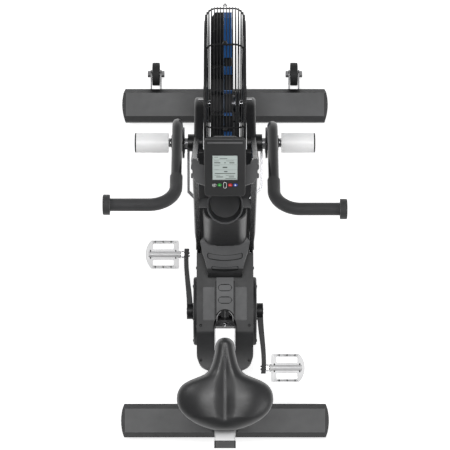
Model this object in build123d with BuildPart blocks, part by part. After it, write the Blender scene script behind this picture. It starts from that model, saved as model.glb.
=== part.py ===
"""Air bike: a stationary bike whose pedals and swinging handle arms drive a caged fan.

Frame: +X to the rider's right, +Y forward, +Z up, in millimetres. The origin is on the floor, at the middle of
the bike's length and width.
"""

import os
from math import atan2, cos, degrees, hypot, pi, radians, sin

from build123d import *

# ---------------------------------------------------------------- driving dimensions
# stabilizers and feet
STAB_LENGTH = 618  # without its domed end caps
STAB_WIDTH = 104
STAB_TOP_WIDTH = 73
STAB_LOW, STAB_HIGH = 20, 80
STAB_WALL = 2
END_CAP_DOME = 12
FRONT_STAB_Y, REAR_STAB_Y = 410, -574
FOOT_X = 270
FOOT_RADIUS = 24

# main beam and centre line
BEAM_WIDTH, BEAM_HIGH = 80, 128
BEAM_WALL = 2.5
BEAM_FRONT, BEAM_REAR = 440, -604

# fan and guard
FAN_Y, FAN_Z = 362, 450
GUARD_RADIUS = 285
GUARD_HALF = 60
GUARD_CORNER = 34
GUARD_WIRE = 1.3
SUPPORT_WIRE = 2.4
SUPPORTS = 7
SUPPORT_PHASE = 9.3  # degrees from +Y up to the front support
HUB_RING_RADIUS = 60
RIM_PITCH, SIDE_PITCH = 9.0, 12.4
FAN_RADIUS = 271
VANES = 24
VANE_LEFT, VANE_RIGHT = -41, 20
VANE_FOOT = 185
DRUM_WALL = 2
DISC_X, DISC_THICK, DISC_RADIUS = -5, 2, 232
BLUE_DEPTH = 54
FAN_PULLEY_RADIUS = 32
PULLEY_LIP = 1.2
AXLE_RADIUS = 10

# belt drive and cranks
BB_Y, BB_Z = -249, 330
DRIVE_PULLEY_RADIUS = 128
BELT_X, BELT_WIDTH, BELT_THICK = 31, 12, 3
CRANK_LENGTH = 170
CRANK_IN, CRANK_OUT = 95.5, 114
PEDAL_IN, PEDAL_OUT = 139, 235
THROW = 38  # eccentric throw
ECC_X, ECC_THICK = 58, 6

# fork, mast and rails
LEG_IN, LEG_OUT = 64, 91
PIVOT_Y, PIVOT_Z = 236, 520
RAIL_IN, RAIL_OUT = 72, 87
RAIL_FOOT, RAIL_HEAD = (-64, 500), (86, 1150)
RAIL_WIDTH = 45
MAST_WALL = 2.5  # of the rails and the mast legs
MAST_WIDTH = 40
YOKE_LOW, YOKE_HIGH = 1176, 1190
CUP_Y, CUP_Z, CUP_TILT = 23, 895, 14
CROSSBAR_Z = 486

# handle arms and pegs
ARM_X = 132
ARM_TUBE = 14.3
ARM_ELBOW = (241, 920)
GRIP_Y, GRIP_Z = -13, 1150
GRIP_RADIUS = 17.2
GRIP_END = 327
ARM_PHASE = 0.5  # degrees: the right arm stands this far back, the left this far forward
ARM_BEND = 72
FOAM_RUN = 42  # straight foam below the outboard bend
LEVER, LEVER_X = 110, 119
PEG_IN, PEG_OUT, PEG_RADIUS = 166, 265, 29.5
ROD_FRONT_X, ROD_REAR_X, ROD_THICK, ROD_HIGH = 109, 74, 7, 20
ROD_STEP = 329  # distance from the rear eye to the inward step

# console
CONSOLE_Y, CONSOLE_Z, CONSOLE_TILT = 73, 1320, 35
CONSOLE_WIDTH, CONSOLE_LENGTH, CONSOLE_DEPTH = 108, 173, 24

# shroud
SHROUD_HALF, SHROUD_WALL = 83, 3
SHROUD_REAR = -429
SHROUD_ARC = 297  # radius of the front edge, about the fan's axis
COVER_RADIUS, COVER_OUT = 102, 94

# seat
SEAT_ANGLE = 72  # seat tube, from the horizontal
SEAT_AXIS_Y = -298  # where the seat tube's axis passes z = SEAT_AXIS_Z
SEAT_AXIS_Z = 500
POST_RADIUS = 24
POST_END = 440  # height of the post's lower end
PIN_Z = 548
TUBE_RADIUS = 29
SLIDER_WIDTH, SLIDER_LOW, SLIDER_HIGH = 58, 786, 820
SLIDER_FRONT, SLIDER_REAR = -322, -636
SADDLE_NOSE, SADDLE_REAR = -353, -608
SADDLE_HALF = 132
SADDLE_LOW, SADDLE_HIGH = 868, 930
CARRIAGE_Y = -486
PIN_PITCH = 25
GROOVE_DEPTH = 3
SPINE_START, SPINE_END = -161.4, -300
OBLONG_Y = (-191, -227.5)
ARCH_RADIUS, ARCH_Y = 24.4, -281.4
NECK_ARC_Y = 80  # centre of the neck's curved recesses

# transport wheels
WHEEL_X, WHEEL_Y, WHEEL_Z = 216, 510, 48
WHEEL_RADIUS, WHEEL_WIDTH = 36, 23

GAP = 0.3  # clearance between pieces that move against each other

pieces = {}


def keep(name, *parts):
    """Labels a finished piece, made of one or more solids, and keeps it for export."""
    solids = [solid for part in parts for solid in part.solids()]
    piece = solids[0] if len(solids) == 1 else Compound(solids)
    piece.label = name
    pieces[name] = piece


def both(right):
    """A right-hand part and its mirror image, as one group."""
    return Compound([*right.solids(), *mirror(right, about=Plane.YZ).solids()])


def side_plane(x):
    """A plane across the bike at x, whose sketch axes are +Y and +Z."""
    return Plane((x, 0, 0), x_dir=(0, 1, 0), z_dir=(1, 0, 0))


def rod_between(x0, x1, y, z, radius, bore=0.0):
    """A round bar along X, with an optional through bore."""
    with BuildPart() as bar:
        with BuildSketch(side_plane(x0)):
            with Locations((y, z)):
                Circle(radius)
                if bore:
                    Circle(bore, mode=Mode.SUBTRACT)
        extrude(amount=x1 - x0)
    return bar.part


# ---------------------------------------------------------------- base
def stabilizer_section(x, y, inset=0.0):
    """Outline with a flat top and sloping sides, drawn across the bar at x, or that far inside it."""
    side = STAB_WIDTH / 2 - inset
    top = STAB_TOP_WIDTH / 2 - inset / 2
    low, high = STAB_LOW + inset, STAB_HIGH - inset
    with BuildSketch(side_plane(x)) as section:
        with BuildLine():
            Polyline(
                (y - side + 8, low), (y + side - 8, low), (y + side, low + 12), (y + side, high - 24),
                (y + top, high), (y - top, high), (y - side, high - 24), (y - side, low + 12), close=True,
            )
        make_face()
    return section.sketch


def stabilizer(y):
    """Tube across the bike, closed by its end caps."""
    with BuildPart() as bar:
        extrude(stabilizer_section(-STAB_LENGTH / 2, y), amount=STAB_LENGTH, dir=(1, 0, 0))
        hollow = stabilizer_section(-STAB_LENGTH / 2, y, STAB_WALL)
        extrude(hollow, amount=STAB_LENGTH, dir=(1, 0, 0), mode=Mode.SUBTRACT)
    return bar.part


def stabilizer_caps(y):
    """Two domed plastic caps, each with the bar's outline."""
    with BuildPart() as cap:
        extrude(stabilizer_section(STAB_LENGTH / 2, y), amount=END_CAP_DOME, dir=(1, 0, 0))
        dome = (STAB_WIDTH / 2) ** 2 / (2 * 9) + 4.5
        with Locations((STAB_LENGTH / 2 + END_CAP_DOME - dome, y, 0)):
            Cylinder(dome, 300, mode=Mode.INTERSECT)
    return Compound([cap.part, mirror(cap.part, about=Plane.YZ)])


def feet():
    """Four rubber feet, one under each end of each bar."""
    with BuildPart() as foot:
        for y in (FRONT_STAB_Y, REAR_STAB_Y):
            with Locations((FOOT_X, y, 0), (-FOOT_X, y, 0)):
                Cylinder(FOOT_RADIUS, STAB_LOW, align=(Align.CENTER, Align.CENTER, Align.MIN))
        chamfer(foot.faces().filter_by(Axis.Z).group_by(Axis.Z)[0].edges(), 3)
    return foot.part


def main_beam():
    """Rectangular tube over both stabilizers, open at its ends."""
    length = BEAM_FRONT - BEAM_REAR
    height = BEAM_HIGH - STAB_HIGH
    with BuildPart() as beam:
        with BuildSketch(Plane((0, BEAM_REAR, STAB_HIGH + height / 2), x_dir=(1, 0, 0), z_dir=(0, -1, 0))):
            RectangleRounded(BEAM_WIDTH, height, 8)
            RectangleRounded(BEAM_WIDTH - 2 * BEAM_WALL, height - 2 * BEAM_WALL, 5.5, mode=Mode.SUBTRACT)
        extrude(amount=-length)
    return beam.part


def beam_plugs():
    """Plastic plugs in the beam's two ends."""
    height = BEAM_HIGH - STAB_HIGH
    with BuildPart() as plugs:
        for y, way in ((BEAM_FRONT, 1), (BEAM_REAR, -1)):
            face = Plane((0, y, STAB_HIGH + height / 2), x_dir=(1, 0, 0), z_dir=(0, way, 0))
            with BuildSketch(face):
                RectangleRounded(BEAM_WIDTH, height, 8)
            extrude(amount=4)
    return plugs.part


def center_post():
    """Upright inside the shroud, with a cross tube for the rails to stand on."""
    with BuildPart() as post:
        with BuildSketch(side_plane(-25)):
            with BuildLine():
                Polyline((-40, BEAM_HIGH), (-100, BEAM_HIGH), (-94, 478), (-52, 478), close=True)
            make_face()
            offset(amount=-3, mode=Mode.SUBTRACT)
        extrude(amount=50)
        with BuildSketch(side_plane(-RAIL_OUT + 2)):
            with Locations((RAIL_FOOT[0], CROSSBAR_Z)):
                Circle(13)
        extrude(amount=2 * RAIL_OUT - 4)
    return post.part


def bottom_bracket():
    """Crank housing on a pedestal over the beam, bored for the axle's bearings."""
    with BuildPart() as shell:
        with BuildSketch(side_plane(-24)):
            with BuildLine():
                Polyline(
                    (BB_Y - 34, BEAM_HIGH), (BB_Y + 34, BEAM_HIGH), (BB_Y + 22, BB_Z), (BB_Y - 22, BB_Z), close=True
                )
            make_face()
            offset(amount=-4, mode=Mode.SUBTRACT)
            with Locations((BB_Y, BB_Z)):
                Circle(27)
                Circle(20, mode=Mode.SUBTRACT)
        extrude(amount=48)
    return shell.part


def seat_point(z):
    """Y of the seat tube's axis at height z."""
    return SEAT_AXIS_Y - (z - SEAT_AXIS_Z) / (sin(radians(SEAT_ANGLE)) / cos(radians(SEAT_ANGLE)))


def seat_plane(z):
    """A plane square to the seat tube, with its origin on the axis at height z."""
    along = (0, -cos(radians(SEAT_ANGLE)), sin(radians(SEAT_ANGLE)))
    return Plane((0, seat_point(z), z), x_dir=(1, 0, 0), z_dir=along)


def pin_plane():
    """Plane on the seat tube's axis at the height pin, facing forward."""
    return Plane((0, seat_point(PIN_Z), PIN_Z), x_dir=(1, 0, 0), z_dir=(0, 1, 0))


def seat_tube():
    """Sleeve for the seat post, with a flared collar at its mouth."""
    with BuildPart() as tube:
        with BuildSketch(seat_plane(372)):
            Circle(TUBE_RADIUS)
        extrude(amount=190)
        with BuildSketch(seat_plane(540)):
            Circle(TUBE_RADIUS + 3)
        extrude(amount=22)
        with BuildSketch(seat_plane(372)):
            Circle(POST_RADIUS + 0.06)
        extrude(amount=260, mode=Mode.SUBTRACT)
        with Locations(pin_plane()):
            Cylinder(6, 80, align=(Align.CENTER, Align.CENTER, Align.MIN), mode=Mode.SUBTRACT)
    return tube.part


def seat_brace():
    """Plate from the crank housing up to the sleeve's rear."""
    with BuildPart() as brace:
        with BuildSketch(side_plane(-20)):
            with BuildLine():
                Polyline(
                    (seat_point(372) - 40, 372), (BB_Y - 28, BB_Z - 20), (BB_Y - 36, BEAM_HIGH + 2),
                    (BB_Y - 84, BEAM_HIGH + 2), (seat_point(372) - 64, 372), close=True,
                )
            make_face()
        extrude(amount=40)
        with BuildSketch(side_plane(-30)):
            with Locations((BB_Y, BB_Z)):
                Circle(28)
        extrude(amount=60, mode=Mode.SUBTRACT)
        with BuildSketch(side_plane(-14)):
            with BuildLine():
                Polyline((BB_Y - 44, 315), (BB_Y - 52, BEAM_HIGH + 14), (BB_Y - 70, BEAM_HIGH + 14), close=True)
            make_face()
        extrude(amount=28, mode=Mode.SUBTRACT)
    return brace.part


# ---------------------------------------------------------------- fork and mast
def fork_leg():
    """Flat-oval tube from the stabilizer past the fan axle to the pivot."""
    with BuildPart() as leg:
        with BuildSketch(side_plane(LEG_IN)):
            with BuildLine() as path:
                FilletPolyline((396, 60), (352, 440), (PIVOT_Y, PIVOT_Z), radius=60)
            trace(path.line, line_width=60)
            with Locations((PIVOT_Y, PIVOT_Z)):
                Circle(30)
        extrude(amount=LEG_OUT - LEG_IN)
        fillet(leg.faces().sort_by(Axis.X)[-1].edges(), 9)
        with BuildSketch(side_plane(LEG_IN + 3)):
            with BuildLine() as core:
                FilletPolyline((396, 60), (352, 440), (PIVOT_Y + 30, PIVOT_Z - 24), radius=60)
            trace(core.line, line_width=48)
        extrude(amount=LEG_OUT - LEG_IN - 6, mode=Mode.SUBTRACT)
        with BuildSketch(Plane.XY.offset(STAB_HIGH)):
            with Locations((LEG_IN + 13, FRONT_STAB_Y)):
                Rectangle(80, 200)
        extrude(amount=-60, mode=Mode.SUBTRACT)
        with BuildSketch(side_plane(LEG_IN)):
            with Locations((FAN_Y, FAN_Z)):
                Circle(14)
        extrude(amount=16, mode=Mode.SUBTRACT)
        with BuildSketch(side_plane(LEG_IN)):
            with Locations((PIVOT_Y, PIVOT_Z)):
                Circle(15)
        extrude(amount=60, mode=Mode.SUBTRACT)
    return leg.part


def pivot_collar():
    """Thick ring on the leg's outer face that the handle arm turns against."""
    return rod_between(LEG_OUT, 109, PIVOT_Y, PIVOT_Z, 25.5, bore=15)


def pivot_shaft():
    """Fixed shaft for the handle arm, which also carries the foot peg."""
    return rod_between(LEG_IN + 2, PEG_IN, PIVOT_Y, PIVOT_Z, 9)


def pivot_core():
    """Steel bush that holds the shaft in the leg and the collar."""
    return rod_between(LEG_IN + 2, 109, PIVOT_Y, PIVOT_Z, 15, bore=9)


def rail_normal():
    """Unit vector along a rail and the unit vector forward of it, in (Y, Z)."""
    dy, dz = RAIL_HEAD[0] - RAIL_FOOT[0], RAIL_HEAD[1] - RAIL_FOOT[1]
    size = hypot(dy, dz)
    return (dy / size, dz / size), (dz / size, -dy / size)


def rail():
    """Flat tube from the crossbar up to the yoke, solid and thinner at its foot."""
    (uy, uz), (ny, nz) = rail_normal()
    half = RAIL_WIDTH / 2
    top = (YOKE_LOW - RAIL_HEAD[1]) / uz
    head = (RAIL_HEAD[0] + uy * top, YOKE_LOW)
    with BuildPart() as bar:
        with BuildSketch(side_plane(RAIL_IN)):
            with BuildLine():
                Polyline(
                    (RAIL_FOOT[0] + ny * half, RAIL_FOOT[1] + nz * half), (head[0] + half / uz, head[1]),
                    (head[0] - half / uz, head[1]), (RAIL_FOOT[0] - ny * half, RAIL_FOOT[1] - nz * half), close=True,
                )
            make_face()
        extrude(amount=RAIL_OUT - RAIL_IN)
        fillet(bar.faces().sort_by(Axis.X)[-1].edges(), 4)
        with BuildSketch(side_plane(RAIL_IN + MAST_WALL)):
            with BuildLine() as core:
                Line((RAIL_FOOT[0] + 210 * uy, RAIL_FOOT[1] + 210 * uz), (head[0] + 40 * uy, head[1] + 40 * uz))
            trace(core.line, line_width=RAIL_WIDTH - 2 * MAST_WALL)
        extrude(amount=RAIL_OUT - RAIL_IN - 2 * MAST_WALL, mode=Mode.SUBTRACT)
        with BuildSketch(Plane.XZ.offset(200)):
            with BuildLine():
                Polyline((RAIL_OUT, 690), (RAIL_OUT - 4, 580), (RAIL_OUT - 8, 525), (RAIL_OUT - 8, 470), (RAIL_OUT + 9, 470),
                         (RAIL_OUT + 9, 690), close=True)
            make_face()
        extrude(amount=-400, mode=Mode.SUBTRACT)
        with BuildSketch(side_plane(-100)):
            with Locations((RAIL_FOOT[0], CROSSBAR_Z)):
                Circle(13)
        extrude(amount=200, mode=Mode.SUBTRACT)
    return bar.part


def mast_leg():
    """Flat tube from the fork leg's pivot up to the rail."""
    (uy, uz), (ny, nz) = rail_normal()
    join_z = 1080
    join_y = RAIL_FOOT[0] + uy / uz * (join_z - RAIL_FOOT[1]) + RAIL_WIDTH / 2 / uz
    lean = atan2(join_z - PIVOT_Z, join_y - PIVOT_Y)
    wide = MAST_WIDTH / 2 / sin(lean)
    low_z = PIVOT_Z + 31
    low_y = PIVOT_Y + (low_z - PIVOT_Z) / (sin(lean) / cos(lean))
    top_back = (join_y, join_z)
    rise = 2 * wide / (uy / uz - cos(lean) / sin(lean))
    top_front = (join_y + uy / uz * rise, join_z + rise)
    with BuildPart() as bar:
        with BuildSketch(side_plane(RAIL_IN + 4)):
            with BuildLine():
                Polyline((low_y - wide, low_z), (low_y + wide, low_z), top_front, top_back, close=True)
            make_face()
        extrude(amount=15)
        fillet(bar.faces().sort_by(Axis.X)[-1].edges(), 3)
        with BuildSketch(side_plane(RAIL_IN + 4 + MAST_WALL)):
            with BuildLine() as core:
                Line((low_y - 30 * cos(lean), low_z - 30 * sin(lean)), (low_y + 800 * cos(lean), low_z + 800 * sin(lean)))
            trace(core.line, line_width=MAST_WIDTH - 2 * MAST_WALL)
        extrude(amount=15 - 2 * MAST_WALL, mode=Mode.SUBTRACT)
    return bar.part


def console_yoke():
    """Plate across the rails' heads with cheeks down their inner faces."""
    with BuildPart() as yoke:
        with BuildSketch(Plane.XY.offset(YOKE_LOW)):
            with BuildLine():
                Polyline((87, 112), (87, 66), (77, 48), (52, 40), (-52, 40), (-77, 48), (-87, 66), (-87, 112))
                Polyline((87, 112), (76, 112), (68, 98), (50, 93), (-50, 93), (-68, 98), (-76, 112), (-87, 112))
            make_face()
        extrude(amount=YOKE_HIGH - YOKE_LOW)
        for x in (-RAIL_IN, RAIL_IN - 3):
            with BuildSketch(side_plane(x)):
                with BuildLine():
                    Polyline((108, YOKE_LOW), (104, 1132), (60, 1118), (56, YOKE_LOW), close=True)
                make_face()
            extrude(amount=3)
    return yoke.part


def yoke_bolts():
    """Button-head bolts through the yoke's cheeks, two on each side."""
    with BuildPart() as bolts:
        for y, z in ((94, 1158), (72, 1140)):
            with BuildSketch(side_plane(RAIL_OUT)):
                with Locations((y, z)):
                    Circle(7)
            extrude(amount=4)
        chamfer(bolts.faces().sort_by(Axis.X)[-2:].edges(), 1.5)
    return Compound([*bolts.part.solids(), *mirror(bolts.part, about=Plane.YZ).solids()])


def mast_cover():
    """Channel-shaped plastic cover behind the guard, between the rails, rounded towards the rider."""
    lean = Vector(0, 50, 244)
    with BuildPart() as cover:
        with BuildSketch(Plane((0, -46, 644))):
            RectangleRounded(124, 58, 28)
            RectangleRounded(117, 51, 25, mode=Mode.SUBTRACT)
            with Locations((0, 22)):
                Rectangle(140, 40, mode=Mode.SUBTRACT)
        extrude(amount=lean.length, dir=lean.normalized())
    return cover.part


def cup_solid(outer):
    """The cup as a turned solid, or the full volume inside its outer wall, tilted towards the rider."""
    with BuildPart() as cup:
        with BuildSketch(Plane.XZ):
            with BuildLine():
                if outer:
                    Polyline((0, 0), (44, 0), (50.5, 60), (0, 60), close=True)
                else:
                    Polyline((0, 0), (44, 0), (50.5, 60), (46.5, 60), (41, 4), (0, 4), close=True)
            make_face()
        revolve(axis=Axis.Z)
    tilted = cup.part.rotate(Axis.X, CUP_TILT)
    return tilted.moved(Location((0, CUP_Y, CUP_Z)))


def cup_bracket():
    """Straps that hang the cup between the rails."""
    with BuildPart() as strap:
        with Locations((0, CUP_Y - 4, CUP_Z + 24)):
            Box(2 * RAIL_IN, 24, 26)
        add(cup_solid(True), mode=Mode.SUBTRACT)
    return strap.part


# ---------------------------------------------------------------- console
def console_plane(offset=0.0):
    """The console face's plane, with sketch axes across and up the face."""
    tilt = radians(CONSOLE_TILT)
    normal = Vector(0, -sin(tilt), cos(tilt))
    origin = Vector(0, CONSOLE_Y, CONSOLE_Z) + normal * offset
    return Plane(origin, x_dir=(1, 0, 0), z_dir=normal)


BUTTON_Y = -51
BUTTONS = {
    "button_menu": (-28, 12, 9),
    "button_start": (-14.2, 12, 9),
    "button_select": (0, 9.5, 19),
    "button_stop": (13.6, 12, 9),
    "button_display": (27.4, 12, 9),
}


def console_housing():
    """Front shell of the console with a screen recess and button holes."""
    with BuildPart() as shell:
        with BuildSketch(console_plane(-CONSOLE_DEPTH + 14)):
            RectangleRounded(CONSOLE_WIDTH, CONSOLE_LENGTH, 10)
        extrude(amount=CONSOLE_DEPTH - 14, taper=4)
        fillet(shell.faces().sort_by(Axis.Z)[-1:].edges(), 4)
        with BuildSketch(console_plane(-CONSOLE_DEPTH + 14)):
            RectangleRounded(CONSOLE_WIDTH - 12, CONSOLE_LENGTH - 12, 6)
        extrude(amount=CONSOLE_DEPTH - 18, mode=Mode.SUBTRACT)
        with BuildSketch(console_plane(1)):
            Rectangle(65.5, 72.5)
        extrude(amount=-12, mode=Mode.SUBTRACT)
        with BuildSketch(console_plane(1)):
            for x, wide, high in BUTTONS.values():
                with Locations((x, BUTTON_Y)):
                    SlotOverall(high, wide, rotation=90) if high > wide else SlotOverall(wide, high)
        extrude(amount=-12, mode=Mode.SUBTRACT)
    return shell.part


def console_back():
    """Rear shell of the console, with the boss that stands on the yoke."""
    with BuildPart() as shell:
        with BuildSketch(console_plane(-CONSOLE_DEPTH + 13.8)):
            RectangleRounded(CONSOLE_WIDTH, CONSOLE_LENGTH, 10)
        extrude(amount=-16, taper=34)
        with BuildSketch(console_plane(-CONSOLE_DEPTH + 13)):
            with Locations((0, 22)):
                RectangleRounded(72, 120, 12)
        extrude(amount=-17, taper=8)
        with BuildSketch(console_plane(-CONSOLE_DEPTH - 2)):
            with Locations((0, 10)):
                RectangleRounded(60, 66, 10)
        extrude(amount=-30)
    return shell.part


def console_screen():
    """Display window."""
    with BuildPart() as pane:
        with BuildSketch(console_plane(-1.2)):
            Rectangle(65, 72)
        extrude(amount=-2.5)
    return pane.part


def console_button(x, wide, high):
    """One push button that stands a little proud of the face."""
    with BuildPart() as cap:
        with BuildSketch(console_plane(1.6)):
            with Locations((x, BUTTON_Y)):
                if high > wide:
                    SlotOverall(high - 0.8, wide - 0.8, rotation=90)
                else:
                    SlotOverall(wide - 0.8, high - 0.8)
        extrude(amount=-8.6)
        fillet(cap.faces().sort_by(Axis.Z)[-1:].edges(), 0.8)
    return cap.part


def console_stem():
    """Post from the yoke up to the console's back."""
    with BuildPart() as stem:
        with BuildSketch(Plane.XY.offset(YOKE_HIGH)):
            with Locations((0, 68)):
                RectangleRounded(56, 44, 8)
        extrude(amount=110)
        with BuildSketch(console_plane(-CONSOLE_DEPTH - 32.2)):
            Rectangle(400, 400)
        extrude(amount=200, mode=Mode.SUBTRACT)
    return stem.part


# ---------------------------------------------------------------- guard and fan
def guard_point(s):
    """(x, radius) on the guard's half profile, at arc length s from the rim's middle."""
    flat = GUARD_HALF - GUARD_CORNER
    bend = GUARD_CORNER * pi / 2
    if s <= flat:
        return s, GUARD_RADIUS
    if s <= flat + bend:
        turn = (s - flat) / GUARD_CORNER
        return flat + GUARD_CORNER * sin(turn), GUARD_RADIUS - GUARD_CORNER * (1 - cos(turn))
    return GUARD_HALF, GUARD_RADIUS - GUARD_CORNER - (s - flat - bend)


def guard_rings():
    """Concentric wire rings of the guard's right half. The belt's rings stop short of it."""
    bend_end = GUARD_HALF - GUARD_CORNER + GUARD_CORNER * pi / 2
    side_length = GUARD_RADIUS - GUARD_CORNER - HUB_RING_RADIUS
    lengths = [RIM_PITCH * (k + 0.5) for k in range(int(bend_end / RIM_PITCH))]
    sides = int(side_length / SIDE_PITCH)
    lengths += [bend_end + side_length * (k + 0.5) / sides for k in range(sides)]
    rings = []
    for s in lengths:
        x, radius = guard_point(s)
        with BuildPart() as ring:
            with BuildSketch(Plane.XY):
                with Locations((x, radius)):
                    RegularPolygon(GUARD_WIRE, 6)
            revolve(axis=Axis.X)
        rings.append(ring.part.solid().moved(Location((0, FAN_Y, FAN_Z))))
    return rings


def guard_support(angle):
    """One wire inside the rings from the rim's middle round the corner to the hub ring."""
    inset = GUARD_WIRE + SUPPORT_WIRE + 0.05
    flat = GUARD_HALF - GUARD_CORNER
    corner = GUARD_CORNER - inset
    rim = GUARD_RADIUS - inset
    with BuildPart() as wire:
        with BuildLine() as path:
            first = Line((0.2, rim), (flat, rim))
            JernArc(first @ 1, first % 1, corner, -90)
            Line((flat + corner, rim - corner), (flat + corner, HUB_RING_RADIUS - 8))
        with BuildSketch(Plane((0.2, rim, 0), x_dir=(0, 0, 1), z_dir=(1, 0, 0))):
            Circle(SUPPORT_WIRE)
        sweep(path=path.line)
    turned = wire.part.solid().rotate(Axis.X, angle)
    return turned.moved(Location((0, FAN_Y, FAN_Z)))


def belt_gate():
    """Block that clears the belt's way through the guard's rim."""
    with BuildPart() as block:
        with Locations((BELT_X + BELT_WIDTH / 2, 85, 395)):
            Box(BELT_WIDTH + 10, 80, 190)
    return block.part


def guard_half(side):
    """One half of the fan guard: rings and the half supports inside them. The belt passes the right half."""
    gate = belt_gate()
    wires = []
    for ring in guard_rings():
        wires += (ring - gate).solids() if side > 0 else [ring]
    step = 360 / SUPPORTS
    wires += [guard_support(SUPPORT_PHASE + step * k) for k in range(SUPPORTS)]
    half = Compound(wires)
    return half if side > 0 else mirror(half, about=Plane.YZ)


def guard_hub():
    """Round plate in the middle of the guard's right side, bored for the axle."""
    return rod_between(GUARD_HALF - 8, LEG_IN, FAN_Y, FAN_Z, HUB_RING_RADIUS - 9, bore=14)


def guard_clips():
    """Small clips that join the guard's halves at each support."""
    clips = []
    for k in range(SUPPORTS):
        with BuildPart() as clip:
            with BuildSketch(Plane.XY.offset(-3)):
                with BuildLine():
                    Polyline((-7, 287), (7, 287), (3, 296), (-3, 296), close=True)
                make_face()
            extrude(amount=6)
            with Locations((0, 291, 0)):
                Cylinder(1.6, 20, mode=Mode.SUBTRACT)
        turned = clip.part.solid().rotate(Axis.X, SUPPORT_PHASE + 360 / SUPPORTS * k)
        clips.append(turned.moved(Location((0, FAN_Y, FAN_Z))))
    return Compound(clips)


def fan_axle():
    """Fixed axle between the fork legs, seated in their blind bores."""
    with BuildPart() as axle:
        with BuildSketch(side_plane(-LEG_IN)):
            with Locations((FAN_Y, FAN_Z)):
                Circle(AXLE_RADIUS)
        extrude(amount=2 * LEG_IN)
        for x in (LEG_IN, -LEG_IN - 16):
            with BuildSketch(side_plane(x)):
                with Locations((FAN_Y, FAN_Z)):
                    Circle(14)
            extrude(amount=16)
    return axle.part


def fan_ring_of(part):
    """Copies a vane solid round the fan's axis."""
    vanes = [part.rotate(Axis.X, 360 / VANES * k) for k in range(VANES)]
    return Compound([v.moved(Location((0, FAN_Y, FAN_Z))) for v in vanes])


def fan_vanes():
    """Dark vanes on the disc's left side, each cut off at its outer left corner."""
    with BuildPart() as vane:
        with BuildSketch(Plane.XY.offset(-0.8)):
            with BuildLine():
                Polyline(
                    (VANE_LEFT, VANE_FOOT), (DISC_X, VANE_FOOT), (DISC_X, FAN_RADIUS), (VANE_LEFT + 13, FAN_RADIUS),
                    (VANE_LEFT, FAN_RADIUS - 16), close=True,
                )
            make_face()
        extrude(amount=1.6)
    return fan_ring_of(vane.part.solid())


def fan_blue_vanes():
    """Shorter blue vanes on the disc's right side."""
    low = FAN_RADIUS - BLUE_DEPTH
    with BuildPart() as vane:
        with BuildSketch(Plane.XY.offset(-0.8)):
            with BuildLine():
                Polyline(
                    (DISC_X + DISC_THICK, low), (VANE_RIGHT, low), (VANE_RIGHT, FAN_RADIUS),
                    (DISC_X + DISC_THICK, FAN_RADIUS), close=True,
                )
            make_face()
        extrude(amount=1.6)
    return fan_ring_of(vane.part.solid())


def fan_disc():
    """Flat disc with lightening holes that carries the vanes and the hub."""
    with BuildPart() as disc:
        with BuildSketch(side_plane(DISC_X)):
            with Locations((FAN_Y, FAN_Z)):
                Circle(DISC_RADIUS)
                Circle(AXLE_RADIUS + 14, mode=Mode.SUBTRACT)
                with PolarLocations(130, 6):
                    Circle(30, mode=Mode.SUBTRACT)
        extrude(amount=DISC_THICK)
    return disc.part


def fan_drum():
    """Thin drum on each side of the disc, just inside the vanes."""
    outer = VANE_FOOT - 0.3
    return [
        rod_between(start, end, FAN_Y, FAN_Z, outer, bore=outer - DRUM_WALL)
        for start, end in ((VANE_LEFT, DISC_X), (DISC_X + DISC_THICK, VANE_RIGHT))
    ]


def fan_hub():
    """Hub on the fan's axle."""
    return rod_between(-34, BELT_X - PULLEY_LIP, FAN_Y, FAN_Z, AXLE_RADIUS + 14, bore=AXLE_RADIUS + 0.06)


def pulley(x, y, z, radius, bore):
    """Belt pulley with a rim lip on each side."""
    with BuildPart() as wheel:
        with BuildSketch(side_plane(x)):
            with Locations((y, z)):
                Circle(radius)
        extrude(amount=BELT_WIDTH)
        for edge in (x - PULLEY_LIP, x + BELT_WIDTH):
            with BuildSketch(side_plane(edge)):
                with Locations((y, z)):
                    Circle(radius + 5)
            extrude(amount=PULLEY_LIP)
        with BuildSketch(side_plane(x - PULLEY_LIP)):
            with Locations((y, z)):
                Circle(bore)
                if radius > 80:
                    with PolarLocations(76, 5):
                        Circle(28)
        extrude(amount=BELT_WIDTH + 2 * PULLEY_LIP, mode=Mode.SUBTRACT)
    return wheel.part


def belt():
    """Flat belt round both pulleys."""
    small, large = FAN_PULLEY_RADIUS + 0.35, DRIVE_PULLEY_RADIUS + 0.35
    dy, dz = FAN_Y - BB_Y, FAN_Z - BB_Z
    span = hypot(dy, dz)
    tilt = degrees(atan2(dz, dy))
    lean = (large - small) / span
    up = sin(pi / 2 - lean)
    loops = []
    for grow in (BELT_THICK, 0):
        a, b = large + grow, small + grow
        with BuildSketch() as outline:
            with BuildLine():
                top = Line((a * lean, a * up), (span + b * lean, b * up))
                low = Line((a * lean, -a * up), (span + b * lean, -b * up))
                ThreePointArc(top @ 0, (-a, 0), low @ 0)
                ThreePointArc(top @ 1, (span + b, 0), low @ 1)
            make_face()
        loops.append(outline.sketch)
    ring = (loops[0] - loops[1]).rotate(Axis.Z, tilt)
    placed = Plane((BELT_X + 0.5, BB_Y, BB_Z), x_dir=(0, 1, 0), z_dir=(1, 0, 0)) * ring
    return Part() + extrude(placed, amount=BELT_WIDTH - 1, dir=(1, 0, 0))


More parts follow.
